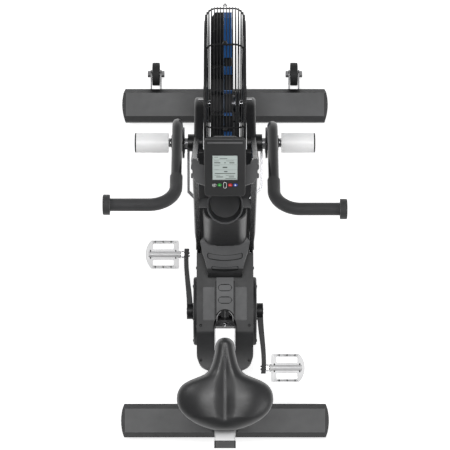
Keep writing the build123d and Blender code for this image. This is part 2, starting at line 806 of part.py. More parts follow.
# ---------------------------------------------------------------- cranks and pedals
def crank(side):
    """Crank arm from its boss on the axle to the pedal's eye: forward on the left, back on the right."""
    with BuildPart() as arm:
        with BuildSketch(Plane.XY.offset(BB_Z - 13)):
            with BuildLine():
                Spline((CRANK_IN + 1, 0), (CRANK_IN + 3, -40), (107, -110), (107.5, -CRANK_LENGTH - 17))
                Line((107.5, -CRANK_LENGTH - 17), (121.5, -CRANK_LENGTH - 17))
                Spline((121.5, -CRANK_LENGTH - 17), (121, -110), (CRANK_OUT + 2, -50), (CRANK_OUT, 0))
                Line((CRANK_OUT, 0), (CRANK_IN + 1, 0))
            make_face()
        extrude(amount=26)
        with BuildSketch(side_plane(CRANK_IN)):
            with Locations((0, BB_Z)):
                Circle(24)
        extrude(amount=CRANK_OUT - CRANK_IN)
        with BuildSketch(side_plane(CRANK_IN - 1)):
            with Locations((0, BB_Z)):
                Circle(AXLE_RADIUS)
            with Locations((-CRANK_LENGTH, BB_Z)):
                Circle(7)
        extrude(amount=60, mode=Mode.SUBTRACT)
    part = arm.part.moved(Location((0, BB_Y, 0)))
    if side < 0:
        part = part.rotate(Axis((0, BB_Y, BB_Z), (0, 0, 1)), 180)
    return part


def pedal(side):
    """Platform pedal: centre barrel, front and rear rails with studs, and an outer plate."""
    with BuildPart() as body:
        with BuildSketch(Plane.XY.offset(-7)):
            with BuildLine():
                Polyline((PEDAL_IN, -42), (PEDAL_IN, 42), (PEDAL_OUT - 14, 42))
                Spline((PEDAL_OUT - 14, 42), (PEDAL_OUT, 20), (PEDAL_OUT, -20), (PEDAL_OUT - 14, -42))
                Line((PEDAL_OUT - 14, -42), (PEDAL_IN, -42))
            make_face()
            for y in (24, -24):
                with Locations((PEDAL_IN + 46, y)):
                    RectangleRounded(64, 18, 5, mode=Mode.SUBTRACT)
        extrude(amount=14)
        fillet(body.edges().filter_by(Axis.Z).group_by(Axis.X)[0], 4)
        with BuildSketch(side_plane(PEDAL_IN - 6)):
            Circle(11)
        extrude(amount=PEDAL_OUT - PEDAL_IN)
        with Locations(Plane.XY.offset(7)):
            with GridLocations(32, 74, 3, 2):
                with Locations((PEDAL_IN + 42, 0)):
                    Cylinder(2.2, 3, align=(Align.CENTER, Align.CENTER, Align.MIN))
        with BuildSketch(side_plane(PEDAL_IN - 7)):
            Circle(7)
        extrude(amount=88, mode=Mode.SUBTRACT)
    y = BB_Y - side * CRANK_LENGTH
    part = body.part if side > 0 else mirror(body.part, about=Plane.YZ)
    return part.moved(Location((0, y, BB_Z)))


def pedal_spindle(side):
    """Fixed spindle screwed into the crank's eye."""
    y = BB_Y - side * CRANK_LENGTH
    with BuildPart() as pin:
        with BuildSketch(side_plane(106)):
            with Locations((y, BB_Z)):
                Circle(6.94)
        extrude(amount=112)
        with BuildSketch(side_plane(123.4)):
            with Locations((y, BB_Z)):
                RegularPolygon(10.5, 6)
        extrude(amount=7)
    return pin.part if side > 0 else mirror(pin.part, about=Plane.YZ)


def crank_caps():
    """Round dust caps in the crank bosses."""
    return both(rod_between(112, CRANK_OUT + 1, BB_Y, BB_Z, AXLE_RADIUS))


def crank_axle():
    """Axle through the crank housing, with an eccentric disc and journal near each end."""
    with BuildPart() as axle:
        with BuildSketch(side_plane(-112)):
            with Locations((BB_Y, BB_Z)):
                Circle(AXLE_RADIUS)
        extrude(amount=224)
        for side in (1, -1):
            far = side * (ECC_X + ECC_THICK)
            with BuildSketch(side_plane(side * ECC_X)):
                with Locations((BB_Y, BB_Z)):
                    Circle(THROW + 12)
            extrude(amount=side * ECC_THICK)
            with BuildSketch(side_plane(far)):
                with Locations((BB_Y, BB_Z + side * THROW)):
                    Circle(9)
            extrude(amount=side * (ROD_REAR_X - ROD_THICK / 2 - 1) - far)
    return axle.part


def crank_bearings():
    """Two bearing rings in the crank housing."""
    return both(rod_between(12, 24, BB_Y, BB_Z, 20, bore=AXLE_RADIUS + 0.05))


# ---------------------------------------------------------------- handle arms
def arm_turn(part, side):
    """Turns a right-hand piece to its rest angle, or its mirror image for the left."""
    part = part if side > 0 else mirror(part, about=Plane.YZ)
    return part.rotate(Axis((0, PIVOT_Y, PIVOT_Z), (1, 0, 0)), side * ARM_PHASE)


def arm_points():
    """Corners of the handle tube's centre line."""
    return [
        (ARM_X, PIVOT_Y, PIVOT_Z + 12), (ARM_X, *ARM_ELBOW), (ARM_X, GRIP_Y, GRIP_Z),
        (GRIP_END - 4, GRIP_Y, GRIP_Z),
    ]


def arm(side):
    """Bent handle tube on its hub, with the round flange and the lever down to the drive rod."""
    with BuildPart() as tube:
        with BuildLine() as path:
            FilletPolyline(*arm_points(), radius=ARM_BEND)
        with BuildSketch(Plane(path.line @ 0, z_dir=path.line % 0)):
            Circle(ARM_TUBE)
            Circle(ARM_TUBE - 2.5, mode=Mode.SUBTRACT)
        sweep(path=path.line)
        for x, end, radius in ((109.4, 119, 14), (119, 157, 22.5)):
            with BuildSketch(side_plane(x)):
                with Locations((PIVOT_Y, PIVOT_Z)):
                    Circle(radius)
            extrude(amount=end - x)
        with BuildSketch(side_plane(LEVER_X)):
            with Locations((PIVOT_Y, PIVOT_Z)):
                Circle(45.5)
            with BuildLine():
                Polyline(
                    (PIVOT_Y - 30, PIVOT_Z - 20), (PIVOT_Y - 14, PIVOT_Z - LEVER), (PIVOT_Y + 14, PIVOT_Z - LEVER),
                    (PIVOT_Y + 30, PIVOT_Z - 20), close=True,
                )
            make_face()
            with Locations((PIVOT_Y, PIVOT_Z - LEVER)):
                Circle(15)
        extrude(amount=6)
        with BuildSketch(side_plane(ROD_FRONT_X - ROD_THICK / 2 - 2)):
            with Locations((PIVOT_Y, PIVOT_Z - LEVER)):
                Circle(6)
        extrude(amount=LEVER_X - ROD_FRONT_X + ROD_THICK / 2 + 2)
        for x in (ROD_FRONT_X - ROD_THICK / 2 - 5, LEVER_X + 6):
            with BuildSketch(side_plane(x)):
                with Locations((PIVOT_Y, PIVOT_Z - LEVER)):
                    RegularPolygon(10, 6)
            extrude(amount=4)
        with BuildSketch(side_plane(100)):
            with Locations((PIVOT_Y, PIVOT_Z)):
                Circle(9.06)
        extrude(amount=80, mode=Mode.SUBTRACT)
    return arm_turn(tube.part, side)


def grip(side):
    """Foam sleeve over the handle tube's last bend and its outboard run, with a round end cap."""
    run_in = Vector(0, GRIP_Y - ARM_ELBOW[0], GRIP_Z - ARM_ELBOW[1]).normalized()
    corner = Vector(ARM_X, GRIP_Y, GRIP_Z)
    start = corner - run_in * (ARM_BEND + FOAM_RUN)
    with BuildPart() as foam:
        with BuildSketch(side_plane(GRIP_END - 19)):
            with Locations((GRIP_Y, GRIP_Z)):
                Circle(27.5)
        extrude(amount=19)
        fillet(foam.faces().sort_by(Axis.X)[-1].edges(), 3.5)
        with BuildSketch(side_plane(GRIP_END - 19)):
            with Locations((GRIP_Y, GRIP_Z)):
                Circle(ARM_TUBE)
        extrude(amount=15, mode=Mode.SUBTRACT)
        with BuildLine() as path:
            first = Line(start, corner - run_in * ARM_BEND)
            middle = corner + (Vector(1, 0, 0) - run_in) * (ARM_BEND * (1 - cos(pi / 4)))
            turn = ThreePointArc(first @ 1, middle, corner + Vector(ARM_BEND, 0, 0))
            Line(turn @ 1, (GRIP_END - 10, GRIP_Y, GRIP_Z))
        with BuildSketch(Plane(start, z_dir=run_in)):
            Circle(GRIP_RADIUS)
            Circle(ARM_TUBE, mode=Mode.SUBTRACT)
        sweep(path=path.line)
    return arm_turn(foam.part, side)


def drive_rod(side):
    """Flat bar from the lever back to the eccentric, cranked inward ahead of the shroud."""
    front = Vector(PIVOT_Y, PIVOT_Z - LEVER)
    rear = Vector(BB_Y, BB_Z + side * THROW)
    tilt = degrees(atan2(front.Y - rear.Y, front.X - rear.X))
    length = (front - rear).length
    half = ROD_THICK / 2
    near, far = ROD_REAR_X, ROD_FRONT_X
    with BuildPart() as bar:
        with BuildSketch(Plane.XY.offset(-ROD_HIGH / 2)):
            with BuildLine():
                Polyline(
                    (near - half, 0), (near + half, 0), (near + half, ROD_STEP), (far + half, ROD_STEP + 36),
                    (far + half, length), (far - half, length), (far - half, ROD_STEP + 39),
                    (near - half, ROD_STEP + 3), close=True,
                )
            make_face()
        extrude(amount=ROD_HIGH)
        for x, y, radius in ((near, 0, 17), (far, length, 15)):
            with BuildSketch(side_plane(x - half)):
                with Locations((y, 0)):
                    Circle(radius)
            extrude(amount=ROD_THICK)
        for x, y, radius in ((near, 0, 9.4), (far, length, 6.06)):
            with BuildSketch(side_plane(x - half - 1)):
                with Locations((y, 0)):
                    Circle(radius)
            extrude(amount=ROD_THICK + 2, mode=Mode.SUBTRACT)
    part = bar.part.rotate(Axis.X, tilt).moved(Location((0, rear.X, rear.Y)))
    return arm_shift(part, side)


def arm_shift(part, side):
    """Moves a rod with its lever's end at the arm's rest angle, on its own side."""
    swing = radians(side * ARM_PHASE)
    slide = Location((0, LEVER * sin(swing), LEVER * (1 - cos(swing))))
    part = part.moved(slide)
    return part if side > 0 else mirror(part, about=Plane.YZ)


def foot_peg():
    """Fixed shaft through the arm's hub with a round foot peg on its end."""
    with BuildPart() as peg:
        with BuildSketch(side_plane(LEG_IN + 2)):
            with Locations((PIVOT_Y, PIVOT_Z)):
                Circle(9)
        extrude(amount=PEG_IN - LEG_IN)
        with BuildSketch(side_plane(PEG_IN)):
            with Locations((PIVOT_Y, PIVOT_Z)):
                Circle(PEG_RADIUS)
        extrude(amount=PEG_OUT - PEG_IN)
        fillet(peg.faces().sort_by(Axis.X)[-1].edges(), 4)
        for x in (PEG_OUT - 14, PEG_OUT - 26):
            with BuildSketch(side_plane(x)):
                with Locations((PIVOT_Y, PIVOT_Z)):
                    Circle(PEG_RADIUS + 1)
                    Circle(PEG_RADIUS - 1.2, mode=Mode.SUBTRACT)
            extrude(amount=3, mode=Mode.SUBTRACT)
    return peg.part


# ---------------------------------------------------------------- seat
def seat_post():
    """Round post, with a groove down its front and a row of holes in it for the height pin."""
    with BuildPart() as post:
        with BuildSketch(seat_plane(POST_END)):
            Circle(POST_RADIUS)
            Circle(POST_RADIUS - 4, mode=Mode.SUBTRACT)
        extrude(amount=380)
        with BuildSketch(Plane.XY.offset(SLIDER_LOW)):
            Rectangle(2000, 2000)
        extrude(amount=200, mode=Mode.SUBTRACT)
        along = seat_plane(0).z_dir
        for step in range(-2, 7):
            hole = Vector(0, seat_point(PIN_Z), PIN_Z) + along * (PIN_PITCH * step)
            with Locations(Plane(hole, x_dir=(1, 0, 0), z_dir=(0, 1, 0))):
                Cylinder(5, 60, align=(Align.CENTER, Align.CENTER, Align.MIN), mode=Mode.SUBTRACT)
        with Locations(seat_plane(PIN_Z)):
            with Locations((0, POST_RADIUS - GROOVE_DEPTH + 10, 45)):
                Box(12.6, 20, 240, mode=Mode.SUBTRACT)
    return post.part


def seat_slider():
    """Grooved rail on the post's head, with a front plate and a rear cap."""
    half = SLIDER_WIDTH / 2
    middle = (SLIDER_LOW + SLIDER_HIGH) / 2
    with BuildPart() as rail_bar:
        with BuildSketch(Plane((0, SLIDER_REAR, middle), x_dir=(1, 0, 0), z_dir=(0, -1, 0))):
            RectangleRounded(SLIDER_WIDTH, SLIDER_HIGH - SLIDER_LOW, 3)
            with Locations((half, 0), (-half, 0)):
                Rectangle(10, 8, mode=Mode.SUBTRACT)
        extrude(amount=SLIDER_REAR - SLIDER_FRONT)
        for y, depth in ((SLIDER_FRONT, 5), (SLIDER_REAR - 21, 21)):
            with BuildSketch(Plane((0, y, middle), x_dir=(1, 0, 0), z_dir=(0, -1, 0))):
                RectangleRounded(SLIDER_WIDTH + 2, SLIDER_HIGH - SLIDER_LOW + 2, 4)
            extrude(amount=-depth)
    return rail_bar.part


def seat_carriage():
    """Saddle carriage over the slider, with ribs in its grooves and a clamp block on top."""
    half = SLIDER_WIDTH / 2
    middle = (SLIDER_LOW + SLIDER_HIGH) / 2
    with BuildPart() as block:
        with BuildSketch(Plane((0, CARRIAGE_Y + 50, 0), x_dir=(1, 0, 0), z_dir=(0, -1, 0))):
            with Locations((0, (792 + 836) / 2)):
                RectangleRounded(2 * half + 20, 44, 5)
            with Locations((0, (SLIDER_HIGH + GAP + 700) / 2)):
                Rectangle(2 * (half + GAP), SLIDER_HIGH + GAP - 700, mode=Mode.SUBTRACT)
            for way in (1, -1):
                with Locations((way * (half + 0.5), middle)):
                    Rectangle(8, 8 - 2 * GAP)
        extrude(amount=100)
        with BuildSketch(Plane.XY.offset(836)):
            with Locations((0, CARRIAGE_Y)):
                RectangleRounded(62, 86, 8)
        extrude(amount=SADDLE_LOW - 836)
        with BuildSketch(side_plane(half + GAP + 0.2)):
            with Locations((CARRIAGE_Y - 30, middle)):
                Circle(5)
        extrude(amount=14, mode=Mode.SUBTRACT)
    return block.part


def carriage_knob():
    """Lobed knob on the carriage's right side whose screw locks it on the slider."""
    half = SLIDER_WIDTH / 2
    middle = (SLIDER_LOW + SLIDER_HIGH) / 2
    with BuildPart() as knob:
        with BuildSketch(side_plane(half + 0.9)):
            with Locations((CARRIAGE_Y - 30, middle)):
                Circle(4.94)
        extrude(amount=20)
        with BuildSketch(side_plane(half + 11)):
            with Locations((CARRIAGE_Y - 30, middle)):
                Circle(15)
                with PolarLocations(13, 6):
                    Circle(5)
        extrude(amount=16)
    return knob.part


def height_pin():
    """Sprung pin with a pull knob that holds the seat post in the tube."""
    with BuildPart() as pin:
        with Locations(pin_plane().offset(POST_RADIUS + 0.3)):
            Cylinder(5.94, 28.2, align=(Align.CENTER, Align.CENTER, Align.MIN))
        with Locations(pin_plane().offset(TUBE_RADIUS + 6)):
            Cylinder(11, 20, align=(Align.CENTER, Align.CENTER, Align.MIN))
        chamfer(pin.faces().sort_by(Axis.Y)[-1].edges(), 2)
    return pin.part


def saddle_outline(z, inset):
    """Plan outline at height z, drawn in all round by the inset: narrow nose, broad rounded rear."""
    right = [(10, -355), (18, -360), (24, -371), (26, -382), (30, -404), (36, -427), (43, -443), (54, -454)]
    right += [(74, -463), (100, -473), (117, -484), (128, -501), (SADDLE_HALF, -521), (130, -537), (124, -551)]
    right += [(113, -565), (98, -578), (78, -590), (54, -600), (27, SADDLE_REAR)]
    wide = 1 - inset / 60
    long = 1 - 2 * inset / (SADDLE_NOSE - SADDLE_REAR)
    centre = (SADDLE_NOSE + SADDLE_REAR) / 2
    points = [*right, *[(-x, y) for x, y in reversed(right)]]
    with BuildSketch(Plane.XY.offset(z)) as outline:
        with BuildLine():
            Polyline(*[(x * wide, centre + (y - centre) * long) for x, y in points], close=True)
        make_face()
    return outline.sketch


def saddle():
    """Padded saddle with a rounded top edge."""
    rows = [(SADDLE_LOW, 4), (SADDLE_LOW + 10, 0), (SADDLE_HIGH - 22, 0), (SADDLE_HIGH - 6, 4), (SADDLE_HIGH, 12)]
    with BuildPart() as pad:
        for z, inset in rows:
            add(saddle_outline(z, inset))
        loft(ruled=True)
    return pad.part


# ---------------------------------------------------------------- transport wheels
def wheel(side):
    """Transport wheel with a raised rim and a bore for its bolt."""
    with BuildPart() as disc:
        with BuildSketch(side_plane(side * WHEEL_X - WHEEL_WIDTH / 2)):
            with Locations((WHEEL_Y, WHEEL_Z)):
                Circle(WHEEL_RADIUS)
        extrude(amount=WHEEL_WIDTH)
        fillet(disc.edges().filter_by(GeomType.CIRCLE), 3)
        for x in (side * WHEEL_X - WHEEL_WIDTH / 2, side * WHEEL_X + WHEEL_WIDTH / 2 - 3):
            with BuildSketch(side_plane(x)):
                with Locations((WHEEL_Y, WHEEL_Z)):
                    Circle(WHEEL_RADIUS - 10)
                    Circle(11, mode=Mode.SUBTRACT)
            extrude(amount=3, mode=Mode.SUBTRACT)
        with BuildSketch(side_plane(side * WHEEL_X - WHEEL_WIDTH)):
            with Locations((WHEEL_Y, WHEEL_Z)):
                Circle(5.06)
        extrude(amount=2 * WHEEL_WIDTH, mode=Mode.SUBTRACT)
    return disc.part


def wheel_bracket():
    """Two lugs on the front bar, with the wheel's bolt through them."""
    with BuildPart() as bracket:
        for x in (WHEEL_X - 17, WHEEL_X + 13):
            with BuildSketch(side_plane(x)):
                with BuildLine():
                    Polyline(
                        (FRONT_STAB_Y + STAB_WIDTH / 2, 34), (WHEEL_Y, WHEEL_Z - 13), (WHEEL_Y, WHEEL_Z + 13),
                        (FRONT_STAB_Y + STAB_WIDTH / 2, 54), close=True,
                    )
                make_face()
                with Locations((WHEEL_Y, WHEEL_Z)):
                    Circle(13)
            extrude(amount=4)
        with BuildSketch(side_plane(WHEEL_X - 21)):
            with Locations((WHEEL_Y, WHEEL_Z)):
                Circle(5)
        extrude(amount=42)
        for x in (WHEEL_X - 26, WHEEL_X + 17):
            with BuildSketch(side_plane(x)):
                with Locations((WHEEL_Y, WHEEL_Z)):
                    RegularPolygon(10, 6)
            extrude(amount=9)
    return bracket.part


# ---------------------------------------------------------------- shroud and covers
def shroud_profile(inset):
    """Side outline of the drive shroud, or the outline that far inside it."""
    with BuildSketch(side_plane(0)) as outline:
        with BuildLine():
            lower = Polyline((262, 140), (-404, 140), (SHROUD_REAR, 330))
            rear = ThreePointArc(lower @ 1, (SHROUD_REAR + 28.7, 436.6), (-322, 514.5))
            upper = Polyline(rear @ 1, (-190, 518), (-20, 516), (50, 470), (66, 431))
            turn = radians(38)
            middle = (FAN_Y - SHROUD_ARC * cos(turn), FAN_Z - SHROUD_ARC * sin(turn))
            arc = ThreePointArc(upper @ 1, middle, (255, 173))
            Line(arc @ 1, lower @ 0)
        make_face()
        corners = [v for v in outline.vertices() if -410 < v.X < -300]
        fillet(corners, 20)
        if inset:
            offset(amount=-inset, mode=Mode.REPLACE)
    return outline.sketch


def shroud_block(inset):
    """Right half of the shroud's volume, rounded in plan at its rear."""
    half = SHROUD_HALF - inset
    with BuildPart() as block:
        extrude(shroud_profile(inset), amount=half, dir=(1, 0, 0))
        with BuildSketch(Plane.XY.offset(100)):
            with Locations((0, 100)):
                RectangleRounded(2 * half, 2 * (100 - SHROUD_REAR - inset), 46 - inset)
        extrude(amount=600, mode=Mode.INTERSECT)
    return block.part


def shroud_half():
    """Right half of the hollow drive shroud, open where the moving parts and the frame pass."""
    with BuildPart() as shell:
        add(shroud_block(0))
        add(shroud_block(SHROUD_WALL), mode=Mode.SUBTRACT)
        with BuildPart(mode=Mode.PRIVATE) as skin:
            add(shroud_block(0))
            add(shroud_block(1.4), mode=Mode.SUBTRACT)
        with BuildPart(mode=Mode.PRIVATE) as pocket:
            with Locations((47, -237, 520)):
                Box(34, 98, 24)
            fillet(pocket.edges().filter_by(Axis.Z), 5)
        add(pocket.part & skin.part, mode=Mode.SUBTRACT)
        with Locations((0, -190, 142)):
            Box(70, 320, 20, mode=Mode.SUBTRACT)
        with Locations(seat_plane(512)):
            Cylinder(TUBE_RADIUS + 5, 90, mode=Mode.SUBTRACT)
        with BuildSketch(side_plane(40)):
            with Locations((BB_Y, BB_Z)):
                Circle(30)
            with Locations((RAIL_FOOT[0], CROSSBAR_Z)):
                Circle(14)
        extrude(amount=80, mode=Mode.SUBTRACT)
        with BuildSketch(side_plane(RAIL_IN - 1)):
            with BuildLine():
                Polyline((-92, 460), (-38, 460), (-18, 530), (-88, 530), close=True)
            make_face()
        extrude(amount=40, mode=Mode.SUBTRACT)
        with Locations((BELT_X + BELT_WIDTH / 2, 75, 395)):
            Box(BELT_WIDTH + 10, 90, 190, mode=Mode.SUBTRACT)
        with Locations((84, 64, 384)):
            Box(36, 76, 92, mode=Mode.SUBTRACT)
    return shell.part


def crank_cover():
    """Round dished cover on the shroud's side round the crank's axle."""
    with BuildPart() as cover:
        with BuildSketch(side_plane(SHROUD_HALF)):
            with Locations((BB_Y, BB_Z)):
                Circle(COVER_RADIUS)
        extrude(amount=COVER_OUT - SHROUD_HALF)
        fillet(cover.faces().sort_by(Axis.X)[-1].edges(), 6)
        with BuildSketch(side_plane(SHROUD_HALF)):
            with Locations((BB_Y, BB_Z)):
                Circle(COVER_RADIUS - 4)
        extrude(amount=COVER_OUT - SHROUD_HALF - 3, mode=Mode.SUBTRACT)
        with BuildSketch(side_plane(SHROUD_HALF)):
            with Locations((BB_Y, BB_Z)):
                Circle(AXLE_RADIUS + 3)
        extrude(amount=30, mode=Mode.SUBTRACT)
    return cover.part


def neck_block(inset):
    """Volume of the neck cover: tall at the front, narrowing and sloping down to the rear."""
    right = [(24, -77), (45, -68), (60, -50), (71.7, -63), (66, -90), (58, -115), (52, -138), (49, -160)]
    centre = -120
    shrunk = [(x - inset, y + (inset if y < centre else -inset)) for x, y in right]
    with BuildPart() as block:
        with BuildSketch(side_plane(-80)):
            with BuildLine():
                slope = [(-161, 526), (-152, 574), (-141, 592), (-118, 612), (-66, 637), (-40, 640)]
                skin = [(y + inset, z - inset) for y, z in slope]
                Polyline((skin[0][0], 518.2), *skin, (skin[-1][0], 518.2), close=True)
            make_face()
        extrude(amount=160)
        with BuildSketch(Plane.XY.offset(500)):
            with BuildLine():
                Polyline(*shrunk, *[(-x, y) for x, y in reversed(shrunk)], close=True)
            make_face()
        extrude(amount=200, mode=Mode.INTERSECT)
    return block.part


def neck_slot(radius, wide, deep):
    """Curved slot outline, swept below the neck's top about a centre ahead of it."""
    with BuildPart() as cutter:
        with BuildSketch(Plane.XY.offset(540)):
            with Locations((0, NECK_ARC_Y)):
                Circle(radius + deep / 2)
                Circle(radius - deep / 2, mode=Mode.SUBTRACT)
            with Locations((0, NECK_ARC_Y - radius)):
                Rectangle(wide, 60, mode=Mode.INTERSECT)
        extrude(amount=120)
    return cutter.part


def neck_cover():
    """Hollow cover from the shroud's top up to the mast, with two shallow curved recesses."""
    with BuildPart() as skin:
        add(neck_block(0))
        add(neck_block(1.2), mode=Mode.SUBTRACT)
    with BuildPart() as cover:
        add(neck_block(0))
        add(neck_block(SHROUD_WALL), mode=Mode.SUBTRACT)
        add(neck_slot(190, 100, 15) & skin.part, mode=Mode.SUBTRACT)
        add(neck_slot(221, 76, 10) & skin.part, mode=Mode.SUBTRACT)
    return cover.part


def arch_outline(inset):
    """Plan outline of the arched opening round the seat tube's mouth."""
    radius = ARCH_RADIUS - inset
    with BuildSketch(Plane.XY.offset(518.2)) as arch:
        with Locations((0, ARCH_Y)):
            Circle(radius)
        with Locations((0, (ARCH_Y + SPINE_END) / 2 - 1)):
            Rectangle(2 * radius, ARCH_Y - SPINE_END + 2)
    return arch.sketch


def spine_cover():
    """Raised ridge from the neck to the seat tube, with two oblong recesses and an arched rim."""
    length = SPINE_START - SPINE_END
    with BuildPart() as ridge:
        with BuildSketch(Plane.XY.offset(518.2)):
            with Locations((0, SPINE_START - length / 2)):
                Rectangle(50, length)
        extrude(amount=14)
        with BuildSketch(Plane.XY.offset(532.2)):
            for y in OBLONG_Y:
                with Locations((0, y)):
                    RectangleRounded(40, 19, 9)
        extrude(amount=-2, mode=Mode.SUBTRACT)
        extrude(arch_outline(0), amount=17)
        extrude(arch_outline(2.6), amount=17, mode=Mode.SUBTRACT)
        with Locations(seat_plane(512)):
            Cylinder(TUBE_RADIUS + 1, 90, mode=Mode.SUBTRACT)
    return ridge.part


keep("stabilizers", stabilizer(FRONT_STAB_Y), stabilizer(REAR_STAB_Y))
keep("end_caps", stabilizer_caps(FRONT_STAB_Y), stabilizer_caps(REAR_STAB_Y), beam_plugs())
keep("feet", feet())
keep("main_beam", main_beam())
keep("center_post", center_post())
keep("crank_housing", bottom_bracket(), seat_brace())
keep("seat_tube", seat_tube())
keep("fork_legs", both(fork_leg()))
keep("pivot_collars", both(pivot_collar()), both(pivot_core()))
keep("foot_pegs", both(foot_peg()))
keep("mast_rails", both(rail()))
keep("mast_legs", both(mast_leg()))
keep("console_yoke", console_yoke(), console_stem(), yoke_bolts())
keep("mast_cover", mast_cover())
keep("cup_holder", cup_solid(False), cup_bracket())
keep("console_housing", console_housing())
keep("console_back", console_back())
keep("console_screen", console_screen())
keep("guard_right", guard_half(1))
keep("guard_left", guard_half(-1))
keep("guard_fittings", both(guard_hub()), guard_clips())
keep("fan_axle", fan_axle())
keep("fan_drum", *fan_drum())
keep("fan_hub", fan_disc(), fan_hub(), pulley(BELT_X, FAN_Y, FAN_Z, FAN_PULLEY_RADIUS, AXLE_RADIUS + 0.06))
keep("fan_vanes", fan_vanes())
keep("fan_vanes_blue", fan_blue_vanes())
keep("belt", belt())
keep("drive_pulley", pulley(BELT_X, BB_Y, BB_Z, DRIVE_PULLEY_RADIUS, AXLE_RADIUS))
keep("crank_axle", crank_axle())
keep("crank_bearings", crank_bearings())
keep("pedal_spindles", pedal_spindle(1), pedal_spindle(-1), crank_caps())
for hand, side in (("right", 1), ("left", -1)):
    keep("crank_" + hand, crank(side))
    keep("pedal_" + hand, pedal(side))
    keep("arm_" + hand, arm(side))
    keep("grip_" + hand, grip(side))
    keep("rod_" + hand, drive_rod(side))
    keep("wheel_" + hand, wheel(side))
keep("wheel_brackets", both(wheel_bracket()))
keep("seat_post", seat_post())
keep("seat_slider", seat_slider())
keep("seat_carriage", seat_carriage())
keep("carriage_knob", carriage_knob())
keep("height_pin", height_pin())
keep("saddle", saddle())
keep("shroud_right", shroud_half())
keep("shroud_left", mirror(shroud_half(), about=Plane.YZ))
keep("crank_covers", both(crank_cover()))
keep("neck_cover", neck_cover())
keep("spine_cover", spine_cover())
for name, (x, wide, high) in BUTTONS.items():
    keep(name, console_button(x, wide, high))

os.makedirs("parts", exist_ok=True)
for name, part in pieces.items():
    export_step(part, f"parts/{name}.step")
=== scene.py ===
"""Air bike on a pale studio floor, seen from above.

Everything is in metres: X to the rider's right, Y forward towards the fan, Z up.
"""

import math

import bmesh
import bpy
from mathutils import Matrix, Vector
from mathutils.bvhtree import BVHTree


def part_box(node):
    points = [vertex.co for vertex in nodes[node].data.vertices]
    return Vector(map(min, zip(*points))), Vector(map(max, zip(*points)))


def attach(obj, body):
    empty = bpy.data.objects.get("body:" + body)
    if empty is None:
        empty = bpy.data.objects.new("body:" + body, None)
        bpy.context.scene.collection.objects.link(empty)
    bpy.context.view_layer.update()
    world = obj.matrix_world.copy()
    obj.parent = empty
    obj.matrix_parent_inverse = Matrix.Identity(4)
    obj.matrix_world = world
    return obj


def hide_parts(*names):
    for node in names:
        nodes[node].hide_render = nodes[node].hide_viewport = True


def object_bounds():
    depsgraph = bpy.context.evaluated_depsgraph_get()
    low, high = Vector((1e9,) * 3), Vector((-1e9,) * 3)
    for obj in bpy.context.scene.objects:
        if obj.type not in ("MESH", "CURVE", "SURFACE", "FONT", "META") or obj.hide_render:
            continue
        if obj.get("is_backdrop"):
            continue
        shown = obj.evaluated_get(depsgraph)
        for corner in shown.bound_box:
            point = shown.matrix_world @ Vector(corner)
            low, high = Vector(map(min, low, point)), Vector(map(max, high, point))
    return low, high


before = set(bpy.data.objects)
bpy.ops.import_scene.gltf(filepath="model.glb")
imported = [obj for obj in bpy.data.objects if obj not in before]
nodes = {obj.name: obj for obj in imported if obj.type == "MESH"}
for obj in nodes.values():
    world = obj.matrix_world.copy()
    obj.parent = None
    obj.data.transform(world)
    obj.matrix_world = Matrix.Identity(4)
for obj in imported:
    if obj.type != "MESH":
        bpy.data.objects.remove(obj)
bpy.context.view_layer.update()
X, Y, Z = 0, 1, 2
BEYOND = 1.0  # metres: past the bike's end on any side
LEVEL = 0.93  # a face counts as level when its normal's upward part is at least this
EDGE_WIDTH = 0.0018  # of the painted highlight line along edges


# ---------------------------------------------------------------- material helpers
def new_material(name):
    """An empty node material and its shader."""
    material = bpy.data.materials.new(name)
    material.use_nodes = True
    shader = material.node_tree.nodes["Principled BSDF"]
    return material, material.node_tree, shader


def noise(tree, scale, detail=4.0, rough=0.55, stretch=(1, 1, 1)):
    """Noise in object space, with its own scale along each axis."""
    place = tree.nodes.new("ShaderNodeTexCoord")
    mapping = tree.nodes.new("ShaderNodeMapping")
    mapping.inputs["Scale"].default_value = stretch
    tree.links.new(place.outputs["Object"], mapping.inputs["Vector"])
    texture = tree.nodes.new("ShaderNodeTexNoise")
    texture.inputs["Scale"].default_value = scale
    texture.inputs["Detail"].default_value = detail
    texture.inputs["Roughness"].default_value = rough
    tree.links.new(mapping.outputs["Vector"], texture.inputs["Vector"])
    return texture.outputs["Fac"]


def ramp(tree, value, low, high, first=(0, 0, 0, 1), last=(1, 1, 1, 1)):
    """Colour ramp between two positions."""
    node = tree.nodes.new("ShaderNodeValToRGB")
    node.color_ramp.elements[0].position = low
    node.color_ramp.elements[0].color = first
    node.color_ramp.elements[1].position = high
    node.color_ramp.elements[1].color = last
    tree.links.new(value, node.inputs["Fac"])
    return node.outputs["Color"]


def mix(tree, factor, first, second):
    """Colour mix; first and second are colours or sockets."""
    node = tree.nodes.new("ShaderNodeMix")
    node.data_type = "RGBA"
    tree.links.new(factor, node.inputs["Factor"])
    sockets = [s for s in node.inputs if s.type == "RGBA"]
    for socket, value in zip(sockets, (first, second)):
        if isinstance(value, tuple):
            socket.default_value = (*value, 1)
        else:
            tree.links.new(value, socket)
    return [s for s in node.outputs if s.type == "RGBA"][0]


def bump(tree, shader, value, strength, distance=0.0004, previous=None):
    """Bump from a value, on top of an earlier bump."""
    node = tree.nodes.new("ShaderNodeBump")
    node.inputs["Strength"].default_value = strength
    node.inputs["Distance"].default_value = distance
    tree.links.new(value, node.inputs["Height"])
    if previous is not None:
        tree.links.new(previous, node.inputs["Normal"])
    tree.links.new(node.outputs["Normal"], shader.inputs["Normal"])
    return node.outputs["Normal"]


